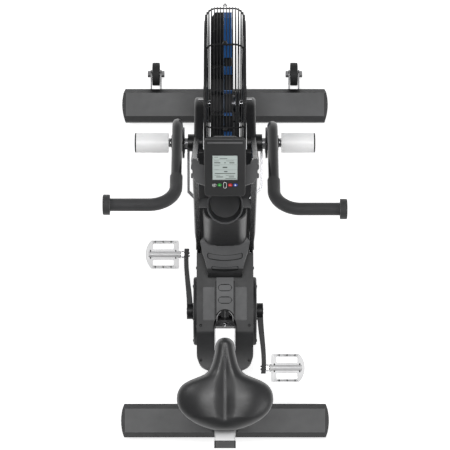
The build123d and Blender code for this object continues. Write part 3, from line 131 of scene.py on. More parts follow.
def limit(tree, value, low, high):
    """Maps a 0 to 1 value to a range."""
    node = tree.nodes.new("ShaderNodeMapRange")
    node.inputs["To Min"].default_value = low
    node.inputs["To Max"].default_value = high
    tree.links.new(value, node.inputs["Value"])
    return node.outputs["Result"]


def calculate(tree, operation, first, second=None):
    """Math node; the second value is a number or a socket."""
    node = tree.nodes.new("ShaderNodeMath")
    node.operation = operation
    tree.links.new(first, node.inputs[0])
    if isinstance(second, float):
        node.inputs[1].default_value = second
    elif second is not None:
        tree.links.new(second, node.inputs[1])
    return node.outputs["Value"]


def between(tree, value, low, high):
    """Mask that is 1 where a value lies between two bounds."""
    above = calculate(tree, "GREATER_THAN", value, low)
    below = calculate(tree, "LESS_THAN", value, high)
    return calculate(tree, "MULTIPLY", above, below)


def band(axis, low, high, both_sides=False):
    """Mask maker: 1 where a coordinate in metres, or its distance from 0, lies between two bounds."""
    def mask(tree):
        place = tree.nodes.new("ShaderNodeTexCoord")
        split = tree.nodes.new("ShaderNodeSeparateXYZ")
        tree.links.new(place.outputs["Object"], split.inputs["Vector"])
        value = split.outputs[axis]
        if both_sides:
            value = calculate(tree, "ABSOLUTE", value)
        return between(tree, value, low, high)
    return mask


def overlap(*masks):
    """Mask maker: 1 where every one of some masks is."""
    def mask(tree):
        value = masks[0](tree)
        for other in masks[1:]:
            value = calculate(tree, "MULTIPLY", value, other(tree))
        return value
    return mask


def slopes(tree):
    """Mask of faces that lean well away from level."""
    geometry = tree.nodes.new("ShaderNodeNewGeometry")
    split = tree.nodes.new("ShaderNodeSeparateXYZ")
    tree.links.new(geometry.outputs["Normal"], split.inputs["Vector"])
    return between(tree, split.outputs[Z], -2.0, LEVEL)


def recolour(material, mask, dark, light, metallic=0.0):
    """Gives the masked part of a material its own mottled colour and metalness."""
    tree = material.node_tree
    shader = tree.nodes["Principled BSDF"]
    value = mask(tree)
    base = shader.inputs["Base Color"].links[0].from_socket
    other = mix(tree, ramp(tree, noise(tree, 30, 5), 0.3, 0.7), dark, light)
    tree.links.new(mix(tree, value, base, other), shader.inputs["Base Color"])
    socket = shader.inputs["Metallic"]
    if socket.default_value == metallic:
        return
    node = tree.nodes.new("ShaderNodeMix")
    factor, first, second = node.inputs[0], node.inputs[2], node.inputs[3]
    first.default_value = socket.default_value
    second.default_value = metallic
    tree.links.new(value, factor)
    if socket.links:
        tree.links.new(socket.links[0].from_socket, first)
    tree.links.new(node.outputs[0], socket)


def painted_edge_mask(tree):
    """Mask of edges, from how far a rounded normal leans off the real one; the materials use it to paint
    highlight lines along edges.
    """
    rounded = tree.nodes.new("ShaderNodeBevel")
    rounded.samples = 4
    rounded.inputs["Radius"].default_value = EDGE_WIDTH
    geometry = tree.nodes.new("ShaderNodeNewGeometry")
    lean = tree.nodes.new("ShaderNodeVectorMath")
    lean.operation = "DOT_PRODUCT"
    tree.links.new(rounded.outputs["Normal"], lean.inputs[0])
    tree.links.new(geometry.outputs["Normal"], lean.inputs[1])
    return ramp(tree, lean.outputs["Value"], 0.80, 0.97, (1, 1, 1, 1), (0, 0, 0, 1))


def moulded(name, dark, light, rough=(0.42, 0.62), grain=900, depth=0.25,
            metallic=0.0, painted_edge_tone=None, sheen=0.0):
    """Textured plastic or powder coat: broad mottling, fine grain, and edges painted in their own tone, a
    painted highlight where it is lighter and painted shade where it is darker.
    """
    material, tree, shader = new_material(name)
    broad = noise(tree, 9, 5)
    fine = noise(tree, grain, 2, 0.7)
    colour = mix(tree, ramp(tree, broad, 0.3, 0.7), dark, light)
    speck = ramp(tree, fine, 0.62, 0.74)
    colour = mix(tree, limit(tree, speck, 0.0, 0.35), colour, tuple(min(1, 2.2 * c) for c in light))
    if painted_edge_tone:
        colour = mix(tree, limit(tree, painted_edge_mask(tree), 0.0, 0.6), colour, painted_edge_tone)
    tree.links.new(colour, shader.inputs["Base Color"])
    tree.links.new(limit(tree, noise(tree, 35, 4), *rough), shader.inputs["Roughness"])
    shader.inputs["Metallic"].default_value = metallic
    shader.inputs["Specular IOR Level"].default_value = 0.32
    shader.inputs["Sheen Weight"].default_value = sheen
    bump(tree, shader, fine, depth, 0.0003)
    return material


def metal(name, colour, rough=(0.18, 0.34), stretch=(1, 60, 60), bright=None, depth=0.05):
    """Turned or drawn metal with fine streaks."""
    material, tree, shader = new_material(name)
    streak = noise(tree, 60, 3, 0.6, stretch)
    bright = bright or tuple(min(1, 1.2 * c) for c in colour)
    tone = mix(tree, ramp(tree, streak, 0.3, 0.7), colour, bright)
    smudge = ramp(tree, noise(tree, 14, 5), 0.4, 0.75)
    tone = mix(tree, limit(tree, smudge, 0.0, 0.25), tone, tuple(0.7 * c for c in colour))
    tree.links.new(tone, shader.inputs["Base Color"])
    tree.links.new(limit(tree, streak, *rough), shader.inputs["Roughness"])
    shader.inputs["Metallic"].default_value = 1.0
    bump(tree, shader, streak, depth, 0.0002)
    return material


def paint(material, *names):
    """Gives CAD nodes a material."""
    for name in names:
        thing = nodes[name]
        for slot in thing.material_slots:
            slot.link = "OBJECT"
            slot.material = material


# ---------------------------------------------------------------- materials
coat = moulded(
    "powder_coat_black", (0.012, 0.0122, 0.013), (0.020, 0.0203, 0.0215), rough=(0.30, 0.42),
    grain=1400, depth=0.35, painted_edge_tone=(0.12, 0.12, 0.124),
)
rail_coat = moulded(
    "powder_coat_rail", (0.008, 0.0082, 0.009), (0.014, 0.0143, 0.0155), rough=(0.20, 0.30),
    grain=1400, depth=0.25, painted_edge_tone=(0.10, 0.10, 0.104),
)
# grey painted on the bars' level tops as their highlight from the overhead light
bar_painted_light = moulded(
    "powder_coat_bar_painted_light", (0.095, 0.096, 0.097), (0.128, 0.129, 0.131), rough=(0.40, 0.55), grain=1100,
    depth=0.5, painted_edge_tone=(0.16, 0.16, 0.165),
)
shell = moulded(
    "shroud_plastic", (0.020, 0.0203, 0.021), (0.032, 0.0325, 0.034), rough=(0.42, 0.56), grain=1600,
    depth=0.3, painted_edge_tone=(0.13, 0.13, 0.134),
)
# the neck and spine covers are painted paler than the shroud's plastic, as the highlight from the overhead
# light
ridge_painted_light = moulded(
    "ridge_plastic_painted_light", (0.088, 0.089, 0.091), (0.125, 0.126, 0.129), rough=(0.46, 0.6), grain=1600,
    depth=0.3, painted_edge_tone=(0.20, 0.20, 0.204),
)
panel = moulded(
    "panel_plastic", (0.030, 0.0305, 0.032), (0.042, 0.0425, 0.0445), rough=(0.44, 0.58), grain=1600,
    depth=0.3, painted_edge_tone=(0.18, 0.18, 0.184),
)
black = moulded(
    "black_plastic", (0.007, 0.0072, 0.008), (0.013, 0.0132, 0.0145), rough=(0.34, 0.46), grain=1500,
    depth=0.25, painted_edge_tone=(0.09, 0.09, 0.093),
)
# the cup holder is painted paler than the console's plastic, as painted light lifting the shade in its
# recess
cup_lit = moulded(
    "cup_plastic_painted_light", (0.050, 0.051, 0.053), (0.070, 0.071, 0.074), rough=(0.45, 0.6), grain=1500,
    depth=0.25, painted_edge_tone=(0.20, 0.20, 0.205),
)
case = moulded(
    "console_plastic", (0.024, 0.0243, 0.0248), (0.034, 0.0343, 0.0352), rough=(0.44, 0.58),
    grain=1800, depth=0.3, painted_edge_tone=(0.11, 0.11, 0.113),
)
wire = moulded(
    "guard_wire", (0.004, 0.004, 0.0045), (0.008, 0.008, 0.009), rough=(0.5, 0.65), grain=1400,
    depth=0.15,
)
vane = moulded(
    "vane_black", (0.003, 0.003, 0.0034), (0.007, 0.007, 0.0078), rough=(0.55, 0.7), grain=900,
    depth=0.2,
)
blue = moulded(
    "vane_blue", (0.012, 0.075, 0.24), (0.020, 0.11, 0.32), rough=(0.38, 0.5), grain=900, depth=0.15,
)
foam = moulded(
    "grip_foam", (0.024, 0.0242, 0.025), (0.038, 0.0383, 0.040), rough=(0.60, 0.8), grain=700,
    depth=0.7, sheen=0.2,
)
rubber = moulded(
    "rubber", (0.016, 0.0162, 0.017), (0.028, 0.0283, 0.029), rough=(0.55, 0.75), grain=800, depth=0.4,
)
steel = metal("turned_steel", (0.36, 0.36, 0.37))
rod_steel = metal("rod_steel", (0.30, 0.30, 0.31), rough=(0.25, 0.42), stretch=(60, 1, 60))
chrome = metal(
    "chrome_post", (0.42, 0.425, 0.44), rough=(0.16, 0.28), stretch=(40, 40, 1),
    bright=(0.55, 0.555, 0.57),
)
bracket = moulded(
    "zinc_bracket", (0.10, 0.10, 0.103), (0.15, 0.15, 0.153), rough=(0.3, 0.45), grain=900, depth=0.15,
    metallic=0.3,
)
peg = moulded("peg_satin", (0.93, 0.93, 0.935), (0.98, 0.98, 0.98), rough=(0.3, 0.42), grain=600, depth=0.1)
# the cast alloy's dark edge tone is painted shade along its edges
cast = moulded(
    "cast_alloy", (0.60, 0.60, 0.605), (0.74, 0.74, 0.745), rough=(0.34, 0.48), grain=500, depth=0.25,
    metallic=0.1, painted_edge_tone=(0.03, 0.03, 0.03),
)
slider = moulded(
    "slider_satin", (0.62, 0.62, 0.63), (0.70, 0.70, 0.70), rough=(0.3, 0.42), grain=700, depth=0.1,
    metallic=0.1,
)
carrier = moulded(
    "carriage_black", (0.012, 0.012, 0.013), (0.020, 0.020, 0.022), rough=(0.35, 0.5), grain=900,
    depth=0.25, painted_edge_tone=(0.05, 0.05, 0.05),
)
pulley = metal("pulley_alloy", (0.20, 0.20, 0.21), rough=(0.3, 0.45), stretch=(1, 40, 40))
arm_coat = moulded(
    "powder_coat_arm", (0.018, 0.0182, 0.019), (0.028, 0.0283, 0.0295), rough=(0.30, 0.42), grain=1400,
    depth=0.3, painted_edge_tone=(0.12, 0.12, 0.124),
)
crank_coat = moulded(
    "powder_coat_crank", (0.006, 0.0062, 0.007), (0.011, 0.0113, 0.0125), rough=(0.42, 0.55),
    grain=1400, depth=0.3, painted_edge_tone=(0.05, 0.05, 0.053),
)
rotor = metal("rotor_alloy", (0.16, 0.16, 0.17), rough=(0.3, 0.45), stretch=(1, 40, 40))

DARK_PAIR = ((0.007, 0.007, 0.0078), (0.013, 0.013, 0.0142))
COAT_PAIR = ((0.012, 0.0122, 0.013), (0.020, 0.0203, 0.0215))

# black rings on the foot pegs' ends, and the slider's two end caps
recolour(peg, band(X, 0.2605, BEYOND, both_sides=True), *DARK_PAIR)
recolour(slider, band(Y, -0.3235, BEYOND), *DARK_PAIR)
recolour(slider, band(Y, -BEYOND, -0.6355), *DARK_PAIR)

# the two flats beside the spine, on the shroud's top, painted paler as a highlight
lit_flats = overlap(band(X, 0.0315, 0.0635, both_sides=True), band(Y, -0.284, -0.189), band(Z, 0.505, 0.540))
recolour(shell, lit_flats, (0.075, 0.076, 0.078), (0.105, 0.106, 0.109))

# paler flange plates on the arms, blue faces on the fan's disc, and painted shade as a dark band across the
# ridge's steep rear slope
recolour(
    arm_coat, band(X, 0.1085, 0.1188, both_sides=True), (0.24, 0.24, 0.25), (0.34, 0.34, 0.35),
    metallic=0.3,
)
recolour(rotor, band(X, -0.0055, -0.0025), (0.10, 0.24, 0.48), (0.16, 0.34, 0.60))
recolour(ridge_painted_light, band(Y, -0.1613, -0.1395), (0.016, 0.0163, 0.017), (0.028, 0.0285, 0.029))

# painted highlight and shade: the stabilizers and the beam are painted grey on their level tops and black on
# their sloping sides
recolour(bar_painted_light, slopes, *COAT_PAIR)

paint(bar_painted_light, "stabilizers", "main_beam")
paint(crank_coat, "crank_left", "crank_right")
paint(coat, "center_post", "crank_housing", "seat_tube", "fork_legs", "pivot_collars", "guard_fittings")
paint(rail_coat, "mast_rails", "mast_legs")
paint(panel, "console_yoke")
paint(ridge_painted_light, "neck_cover", "spine_cover")
paint(arm_coat, "arm_left", "arm_right")
paint(bracket, "wheel_brackets")
paint(black, "end_caps", "mast_cover", "console_back", "carriage_knob", "height_pin")
paint(cup_lit, "cup_holder")
paint(case, "console_housing")
paint(shell, "shroud_right", "shroud_left", "crank_covers")
paint(wire, "guard_left", "guard_right")
# the fan's drum is a black piece inside the fan that stands for the shade in its interior
paint(vane, "fan_vanes", "fan_drum")
paint(blue, "fan_vanes_blue")
paint(foam, "grip_left", "grip_right")
paint(rubber, "feet", "belt", "wheel_left", "wheel_right")
paint(steel, "crank_axle", "pedal_spindles", "fan_axle", "crank_bearings")
paint(rod_steel, "rod_left", "rod_right")
paint(peg, "foot_pegs")
paint(chrome, "seat_post")
paint(cast, "pedal_left", "pedal_right")
paint(slider, "seat_slider")
paint(carrier, "seat_carriage")
paint(pulley, "drive_pulley")
paint(rotor, "fan_hub")


# ---------------------------------------------------------------- piece helpers
def new_piece(name, points, faces, material, body, smooth=True):
    """A mesh piece that rides on a body."""
    mesh = bpy.data.meshes.new(name)
    mesh.from_pydata([tuple(p) for p in points], [], faces)
    mesh.validate()
    for face in mesh.polygons:
        face.use_smooth = smooth
    mesh.materials.append(material)
    thing = bpy.data.objects.new(name, mesh)
    bpy.context.scene.collection.objects.link(thing)
    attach(thing, body)
    return thing


def tube(name, path, radius, material, body, closed=False, sides=10):
    """Round bar that follows a path of points."""
    points, faces = [], []
    count = len(path)
    for k, p in enumerate(path):
        before = path[(k - 1) % count] if closed or k else p
        after = path[(k + 1) % count] if closed or k < count - 1 else p
        along = (Vector(after) - Vector(before)).normalized()
        side = along.cross(Vector((0, 0, 1)))
        side = side.normalized() if side.length > 1e-6 else Vector((1, 0, 0))
        up = side.cross(along)
        for n in range(sides):
            turn = 2 * math.pi * n / sides
            points.append(Vector(p) + radius * (math.cos(turn) * side + math.sin(turn) * up))
    last = count if closed else count - 1
    for k in range(last):
        for n in range(sides):
            a, b = k * sides + n, k * sides + (n + 1) % sides
            c, d = (k + 1) % count * sides + (n + 1) % sides, (k + 1) % count * sides + n
            faces.append((a, b, c, d))
    if not closed:
        faces.append(tuple(range(sides))[::-1])
        faces.append(tuple((count - 1) * sides + n for n in range(sides)))
    return new_piece(name, points, faces, material, body)


def rounded_block(name, centre, size, material, body, basis=None, radius=0.001):
    """Bevelled block with its axes along a basis of three unit vectors."""
    shape = bmesh.new()
    bmesh.ops.create_cube(shape, size=1.0)
    for v in shape.verts:
        v.co = Vector(v.co[i] * size[i] for i in range(3))
    width = min(radius, 0.45 * min(size))
    bmesh.ops.bevel(shape, geom=shape.edges[:], offset=width, segments=3, profile=0.5, affect="EDGES")
    basis = basis or (Vector((1, 0, 0)), Vector((0, 1, 0)), Vector((0, 0, 1)))
    for v in shape.verts:
        v.co = Vector(centre) + sum((basis[i] * v.co[i] for i in range(3)), Vector())
    mesh = bpy.data.meshes.new(name)
    shape.to_mesh(mesh)
    shape.free()
    mesh.materials.append(material)
    thing = bpy.data.objects.new(name, mesh)
    bpy.context.scene.collection.objects.link(thing)
    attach(thing, body)
    return thing


def screw(name, centre, normal, radius, material, body):
    """Domed screw head with a hexagonal socket; its rings are (reach, height), in head radii."""
    up = Vector(normal).normalized()
    side = up.orthogonal().normalized()
    across = up.cross(side)
    dome = [(1.0, -0.2), (1.0, 0.15), (0.92, 0.34), (0.72, 0.48), (0.5, 0.52)]
    socket = [(0.46, 0.5), (0.46, 0.12)]
    sides = 24
    points, faces = [], []
    for reach, height in dome + socket:
        for n in range(sides):
            turn = 2 * math.pi * n / sides
            flat = math.cos(math.pi / 6) / math.cos((turn % (math.pi / 3)) - math.pi / 6)
            size = reach * flat if (reach, height) in socket else reach
            ray = math.cos(turn) * side + math.sin(turn) * across
            points.append(Vector(centre) + radius * (size * ray + height * up))
    rows = len(dome + socket)
    for k in range(rows - 1):
        for n in range(sides):
            m = (n + 1) % sides
            faces.append((k * sides + n, k * sides + m, (k + 1) * sides + m, (k + 1) * sides + n))
    faces.append(tuple((rows - 1) * sides + n for n in range(sides)))
    return new_piece(name, points, faces, material, body, smooth=False)


# ---------------------------------------------------------------- saddle
saddle_low, saddle_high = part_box("saddle")
SADDLE_MIDDLE = -0.48
SPINE_FRONT, SPINE_REAR = -0.372, -0.572  # the cover's rows close in on this stretch of the centre line
CROWN_STEPS = 44  # rows of faces from the rim to the centre line
CROWN_DROP = 0.010  # from the CAD pad's top to the cover's crown at the nose
EDGE_RISE = 0.024  # height of the rolled edge
LOBE_X, LOBE_Y, LOBE_RISE = 0.070, -0.530, 0.0030
CHANNEL_DEPTH, RIDGE_RISE, RIDGE_WIDTH = 0.0085, 0.0012, 0.0026
PIPING_RADIUS, PIPING_RISE = 0.0017, 0.0165
SEAM_RADIUS, SEAM_START, SEAM_STEP, SEAM_POINTS = 0.0008, -0.400, 0.0045, 40
PAN_INSET_X, PAN_INSET_Y, PAN_DEPTH = 0.86, 0.88, 0.004

# right half of the rim, from the nose's tip round the wing to the rear
RIM = [
    (0.0, -0.3530), (0.0105, -0.3550), (0.0185, -0.3605), (0.0238, -0.3700), (0.0260, -0.3830),
    (0.0298, -0.4040), (0.0360, -0.4260), (0.0440, -0.4430), (0.0570, -0.4550), (0.0770, -0.4635),
    (0.1000, -0.4730), (0.1180, -0.4850), (0.1288, -0.5020), (0.1318, -0.5210), (0.1298, -0.5370),
    (0.1236, -0.5520), (0.1125, -0.5660), (0.0975, -0.5785), (0.0770, -0.5905), (0.0530, -0.6000),
    (0.0270, -0.6068), (0.0, -0.6085),
]


def curve_through(points, steps):
    """Smooth closed curve through points, mirrored about x = 0."""
    loop = list(points) + [(-x, y) for x, y in reversed(points[1:-1])]
    out = []
    count = len(loop)
    for k in range(count):
        p0, p1, p2, p3 = (Vector(loop[(k + n) % count]) for n in (-1, 0, 1, 2))
        for step in range(steps):
            t = step / steps
            out.append(0.5 * (2 * p1 + (p2 - p0) * t + (2 * p0 - 5 * p1 + 4 * p2 - p3) * t * t
                              + (3 * p1 - p0 - 3 * p2 + p3) * t ** 3))
    return out


def ease(low, high, value):
    """Smooth step from 0 at low to 1 at high."""
    t = max(0.0, min(1.0, (value - low) / (high - low)))
    return t * t * (3 - 2 * t)


def channel_half(y):
    """Half width of the saddle's centre channel."""
    return 0.008 + 0.013 * ease(-0.385, -0.49, y) - 0.006 * ease(-0.545, -0.60, y)


def saddle_top(x, y, reach):
    """Height of the saddle's cover; reach is 1 at the rim and 0 on the centre line."""
    crown = saddle_high.z - CROWN_DROP + 0.009 * ease(-0.44, -0.52, y) - 0.010 * ease(-0.57, -0.61, y)
    edge = saddle_low.z + EDGE_RISE
    lift = (1 - reach ** 3.0) ** 0.62
    z = edge + (crown - edge) * lift
    z += LOBE_RISE * math.exp(-((abs(x) - LOBE_X) / 0.040) ** 2 - ((y - LOBE_Y) / 0.045) ** 2)
    half = channel_half(y)
    depth = CHANNEL_DEPTH * ease(-0.37, -0.47, y) * (1 - ease(-0.56, -0.603, y))
    groove = max(0.0, 1 - abs(x) / (1.5 * half)) ** 1.5
    ridge = RIDGE_RISE * math.exp(-((x / RIDGE_WIDTH) ** 2)) * ease(-0.36, -0.40, y)
    return z - depth * groove + ridge * (1 - ease(-0.575, -0.6, y))


def make_saddle():
    """Padded cover: rolled under edge, crowned top, centre channel and two lobes."""
    loop = curve_through(RIM, 8)
    count = len(loop)
    # rolled edge: share of the rim's size, and rise above the pad's underside
    side = [(0.90, 0.0), (0.965, 0.0015), (0.992, 0.006), (1.0, 0.012), (1.0, 0.019), (0.997, 0.0238)]
    points, faces = [], []
    for scale, rise in side:
        for p in loop:
            points.append((p.x * scale, saddle_mid(p.y, scale), saddle_low.z + rise))
    for k in range(1, CROWN_STEPS):
        reach = 1 - (k / CROWN_STEPS) ** 1.25
        for p in loop:
            spine = Vector((0.0, max(SPINE_REAR, min(SPINE_FRONT, p.y))))
            q = spine + (p - spine) * reach * 0.997
            points.append((q.x, q.y, saddle_top(q.x, q.y, reach)))
    rows = len(side) + CROWN_STEPS - 1
    for k in range(rows - 1):
        for n in range(count):
            m = (n + 1) % count
            faces.append((k * count + n, k * count + m, (k + 1) * count + m, (k + 1) * count + n))
    last = (rows - 1) * count
    # the last row closes across the centre line, right side to left side
    for n in range(1, count // 2):
        other = (count - n) % count
        before = (count - n + 1) % count
        if n == 1:
            faces.append((last, last + 1, last + other))
        else:
            faces.append((last + n - 1, last + n, last + other, last + before))
    faces.append((last + count // 2 - 1, last + count // 2, last + count // 2 + 1))
    faces.append(tuple(range(count))[::-1])
    cover = new_piece("saddle_cover", points, faces, vinyl, "saddle_unit")
    shape = bmesh.new()
    shape.from_mesh(cover.data)
    bmesh.ops.recalc_face_normals(shape, faces=shape.faces[:])
    shape.to_mesh(cover.data)
    shape.free()
    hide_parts("saddle")
    return loop


def saddle_mid(y, scale):
    """Shrinks y towards the saddle's middle."""
    return SADDLE_MIDDLE + (y - SADDLE_MIDDLE) * scale


def leather(name, dark, light):
    """Vinyl with a cell grain, fine wrinkles, soft sheen and a painted highlight along its edges."""
    material, tree, shader = new_material(name)
    place = tree.nodes.new("ShaderNodeTexCoord")
    cells = tree.nodes.new("ShaderNodeTexVoronoi")
    cells.inputs["Scale"].default_value = 420
    tree.links.new(place.outputs["Object"], cells.inputs["Vector"])
    broad = noise(tree, 14, 5)
    colour = mix(tree, ramp(tree, broad, 0.3, 0.75), dark, light)
    edge_highlit = mix(tree, limit(tree, painted_edge_mask(tree), 0.0, 0.4), colour, tuple(1.8 * c for c in light))
    tree.links.new(edge_highlit, shader.inputs["Base Color"])
    tree.links.new(limit(tree, noise(tree, 60, 4), 0.36, 0.48), shader.inputs["Roughness"])
    shader.inputs["Sheen Weight"].default_value = 0.08
    first = bump(tree, shader, cells.outputs["Distance"], 0.22, 0.0004)
    bump(tree, shader, noise(tree, 200, 4), 0.15, 0.0004, first)
    return material


vinyl = leather("saddle_vinyl", (0.016, 0.0162, 0.017), (0.026, 0.0263, 0.0275))
# the piping round the rim and the seam along the centre are trim, painted pale as the highlights on the rim
# and on the centre ridge
thread_highlight = moulded(
    "seam_thread_painted_highlight", (0.055, 0.055, 0.058), (0.085, 0.085, 0.09), rough=(0.4, 0.55), grain=1500,
    depth=0.3,
)
rim_line = make_saddle()
piping = [(0.999 * p.x, saddle_mid(p.y, 0.999), saddle_low.z + PIPING_RISE) for p in rim_line[::2]]
tube("saddle_piping", piping, PIPING_RADIUS, thread_highlight, "saddle_unit", closed=True, sides=8)
seam = [(0.0, SEAM_START - SEAM_STEP * k) for k in range(SEAM_POINTS)]
seam_path = [(x, y, saddle_top(x, y, 0.0) + 0.0002) for x, y in seam]
tube("saddle_seam", seam_path, SEAM_RADIUS, thread_highlight, "saddle_unit", sides=8)


def make_pan(outline):
    """Shallow dish under the cover, closed at its bottom."""
    count = len(outline)
    top = [(x, y, saddle_low.z + 0.0005) for x, y in outline]
    bottom = [(0.96 * x, y, saddle_low.z - PAN_DEPTH) for x, y in outline]
    faces = [(n, (n + 1) % count, count + (n + 1) % count, count + n) for n in range(count)]
    faces.append(tuple(range(count, 2 * count)))
    new_piece("saddle_pan", top + bottom, faces, black, "saddle_unit", smooth=False)


make_pan([(PAN_INSET_X * p.x, saddle_mid(p.y, PAN_INSET_Y)) for p in rim_line[::2]])


# ---------------------------------------------------------------- console
tilt = math.radians(35)
GLASS_HALF, BEZEL_RISE = 0.0012, 0.00125
MARK_THICK, MARK_LIFT = 0.0002, -0.00115
KEY_THICK = 0.0086
across = Vector((1, 0, 0))
face_up = Vector((0, math.cos(tilt), math.sin(tilt)))
face_out = Vector((0, -math.sin(tilt), math.cos(tilt)))
screen_low, screen_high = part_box("console_screen")
screen_mid = (Vector(screen_low) + Vector(screen_high)) / 2
FACE = screen_mid + face_out * (GLASS_HALF + BEZEL_RISE)
basis = (across, face_up, face_out)


def on_face(x, y, lift=0.0):
    """Point on the console's face, x across and y up from the screen's middle."""
    return FACE + across * x + face_up * y + face_out * lift


def lcd(name):
    """Pale display glass with a faint cell grid."""
    material, tree, shader = new_material(name)
    place = tree.nodes.new("ShaderNodeTexCoord")
    wave = tree.nodes.new("ShaderNodeTexWave")
    wave.inputs["Scale"].default_value = 420
    tree.links.new(place.outputs["Object"], wave.inputs["Vector"])
    base = mix(tree, limit(tree, wave.outputs["Fac"], 0.0, 0.12), (0.46, 0.52, 0.50), (0.36, 0.41, 0.40))
    cloud = mix(tree, limit(tree, noise(tree, 20, 3), 0.0, 0.3), base, (0.52, 0.57, 0.55))
    tree.links.new(cloud, shader.inputs["Base Color"])
    shader.inputs["Roughness"].default_value = 0.14
    shader.inputs["Coat Weight"].default_value = 0.4
    return material


def key(name, colour):
    """Smooth moulded key with faint grain."""
    light = tuple(min(1, 1.25 * c) for c in colour)
    return moulded(name, colour, light, rough=(0.3, 0.42), grain=1200, depth=0.12)


glass = lcd("display_glass")
ink = moulded(
    "display_ink", (0.05, 0.06, 0.055), (0.09, 0.10, 0.09), rough=(0.4, 0.5), grain=900, depth=0.05,
)
green = key("key_green", (0.02, 0.22, 0.03))
red = key("key_red", (0.42, 0.015, 0.02))
navy = key("key_blue", (0.02, 0.05, 0.30))
pale = key("key_pale", (0.62, 0.62, 0.62))
# pale strip across the console's upper bevel: a painted highlight
bevel_highlight = moulded(
    "console_bevel_highlight", (0.085, 0.085, 0.088), (0.12, 0.12, 0.123), rough=(0.3, 0.42), grain=900,
    depth=0.1,
)
paint(glass, "console_screen")
paint(black, "button_select", "button_menu")
paint(green, "button_start")
paint(red, "button_stop")
paint(navy, "button_display")

rounded_block(
    "console_bevel_highlight", on_face(0, 0.0745, 0.0008), (0.092, 0.0055, 0.0024), bevel_highlight, "frame", basis,
    0.0011,
)
BEZEL_X, BEZEL_Y, BEZEL_WIDTH, BEZEL_THICK = 0.0345, 0.0385, 0.0016, 0.0012
flat_edge = (2 * BEZEL_X, BEZEL_WIDTH, BEZEL_THICK)
upright_edge = (BEZEL_WIDTH, 0.0786, BEZEL_THICK)
bezel = [
    (0, BEZEL_Y, flat_edge), (0, -BEZEL_Y, flat_edge),
    (-BEZEL_X, 0, upright_edge), (BEZEL_X, 0, upright_edge),
]
for number, (x, y, size) in enumerate(bezel):
    rounded_block(f"screen_bezel_{number}", on_face(x, y, 0.0003), size, black, "frame", basis, 0.0004)

# generic marks on the display (x, y, width, height): short dashes, a few bars and one thick gauge line
MARKS = [
    (-0.023, 0.031, 0.010, 0.0012), (-0.004, 0.027, 0.020, 0.0016), (-0.022, 0.020, 0.012, 0.0010),
    (0.013, 0.020, 0.020, 0.0010), (-0.020, 0.0145, 0.016, 0.0026), (0.0, 0.0145, 0.004, 0.0026),
    (0.018, 0.0145, 0.013, 0.0026), (-0.021, 0.006, 0.014, 0.0010), (0.0, 0.001, 0.012, 0.0036),
    (-0.022, -0.006, 0.010, 0.0010), (0.002, -0.0115, 0.009, 0.0030), (0.0, -0.0172, 0.054, 0.0020),
    (-0.020, -0.0225, 0.014, 0.0010), (0.013, -0.0225, 0.022, 0.0010), (-0.014, -0.0275, 0.018, 0.0022),
    (0.017, -0.0275, 0.014, 0.0022), (0.015, -0.0325, 0.028, 0.0014),
]
for number, (x, y, wide, high) in enumerate(MARKS):
    size = (wide, high, MARK_THICK)
    rounded_block(f"display_mark_{number}", on_face(x, y, MARK_LIFT), size, ink, "frame", basis, 0.00008)
for number in range(3):
    place = on_face(0, 0.0235 - 0.0148 * number, MARK_LIFT)
    rounded_block(
        f"display_rule_{number}", place, (0.060, 0.0004, MARK_THICK), ink, "frame", basis, 0.00005,
    )


def key_top(name):
    """Point just above the middle of a key's top face."""
    low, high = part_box(name)
    middle = (Vector(low) + Vector(high)) / 2
    return middle + face_out * (KEY_THICK / 2 + 0.0001)


def ring_on(name, centre, wide, high, width, material, body):
    """Thin stadium-shaped outline lying on a key."""
    path = []
    reach = (max(wide, high) - min(wide, high)) / 2
    radius = min(wide, high) / 2
    for n in range(40):
        turn = 2 * math.pi * n / 40
        x, y = radius * math.cos(turn), radius * math.sin(turn)
        if wide >= high:
            x += reach if math.cos(turn) >= 0 else -reach
        else:
            y += reach if math.sin(turn) >= 0 else -reach
        path.append(centre + across * x + face_up * y)
    return tube(name, path, width, material, body, closed=True, sides=6)


def arrow_on(name, centre, size, way, material, body):
    """Small raised triangle."""
    corners = [(-size, 0), (size, 0), (0, way * size * 1.2)]
    low = [centre + across * x + face_up * y - face_out * 0.0002 for x, y in corners]
    top = [p + face_out * 0.0005 for p in low]
    faces = [(3, 4, 5), (0, 1, 4, 3), (1, 2, 5, 4), (2, 0, 3, 5), (2, 1, 0)]
    return new_piece(name, low + top, faces, material, body, smooth=False)


def key_bar(name, place, size, material, body):
    """Small raised bar or dot on a key."""
    rounded_block(name, place, (*size, 0.0006), material, body, basis, 0.0002)


menu_top, select_top = key_top("button_menu"), key_top("button_select")
ring_on("menu_outline", menu_top, 0.0098, 0.0068, 0.0005, pale, "menu_key")
for n in range(2):
    key_bar(f"menu_bar_{n}", menu_top + face_up * (0.0014 - 0.0028 * n), (0.0056, 0.0011), pale, "menu_key")
ring_on("select_outline", select_top, 0.0076, 0.0168, 0.0006, pale, "select_key")
arrow_on("select_up", select_top + face_up * 0.0022, 0.0021, 1, ink, "select_key")
arrow_on("select_down", select_top - face_up * 0.0022, 0.0021, -1, ink, "select_key")
red_light = key("key_red_light", (0.85, 0.35, 0.33))
green_light = key("key_green_light", (0.35, 0.75, 0.35))
key_bar("display_key_dot", key_top("button_display"), (0.0038, 0.0038), pale, "display_key")
key_bar("stop_key_bar", key_top("button_stop"), (0.0050, 0.0014), red_light, "stop_key")
key_bar("start_key_bar", key_top("button_start"), (0.0048, 0.0014), green_light, "start_key")


# ---------------------------------------------------------------- surface lines
ARCH_Y, ARCH_FOOT_Y = -0.2814, -0.299
RECESS_CENTRE_Y = 0.080  # both curved recesses in the neck share this centre
SPINE_SEAM_X, SPINE_SEAM_START, SPINE_SEAM_STEP = 0.0262, -0.170, 0.006


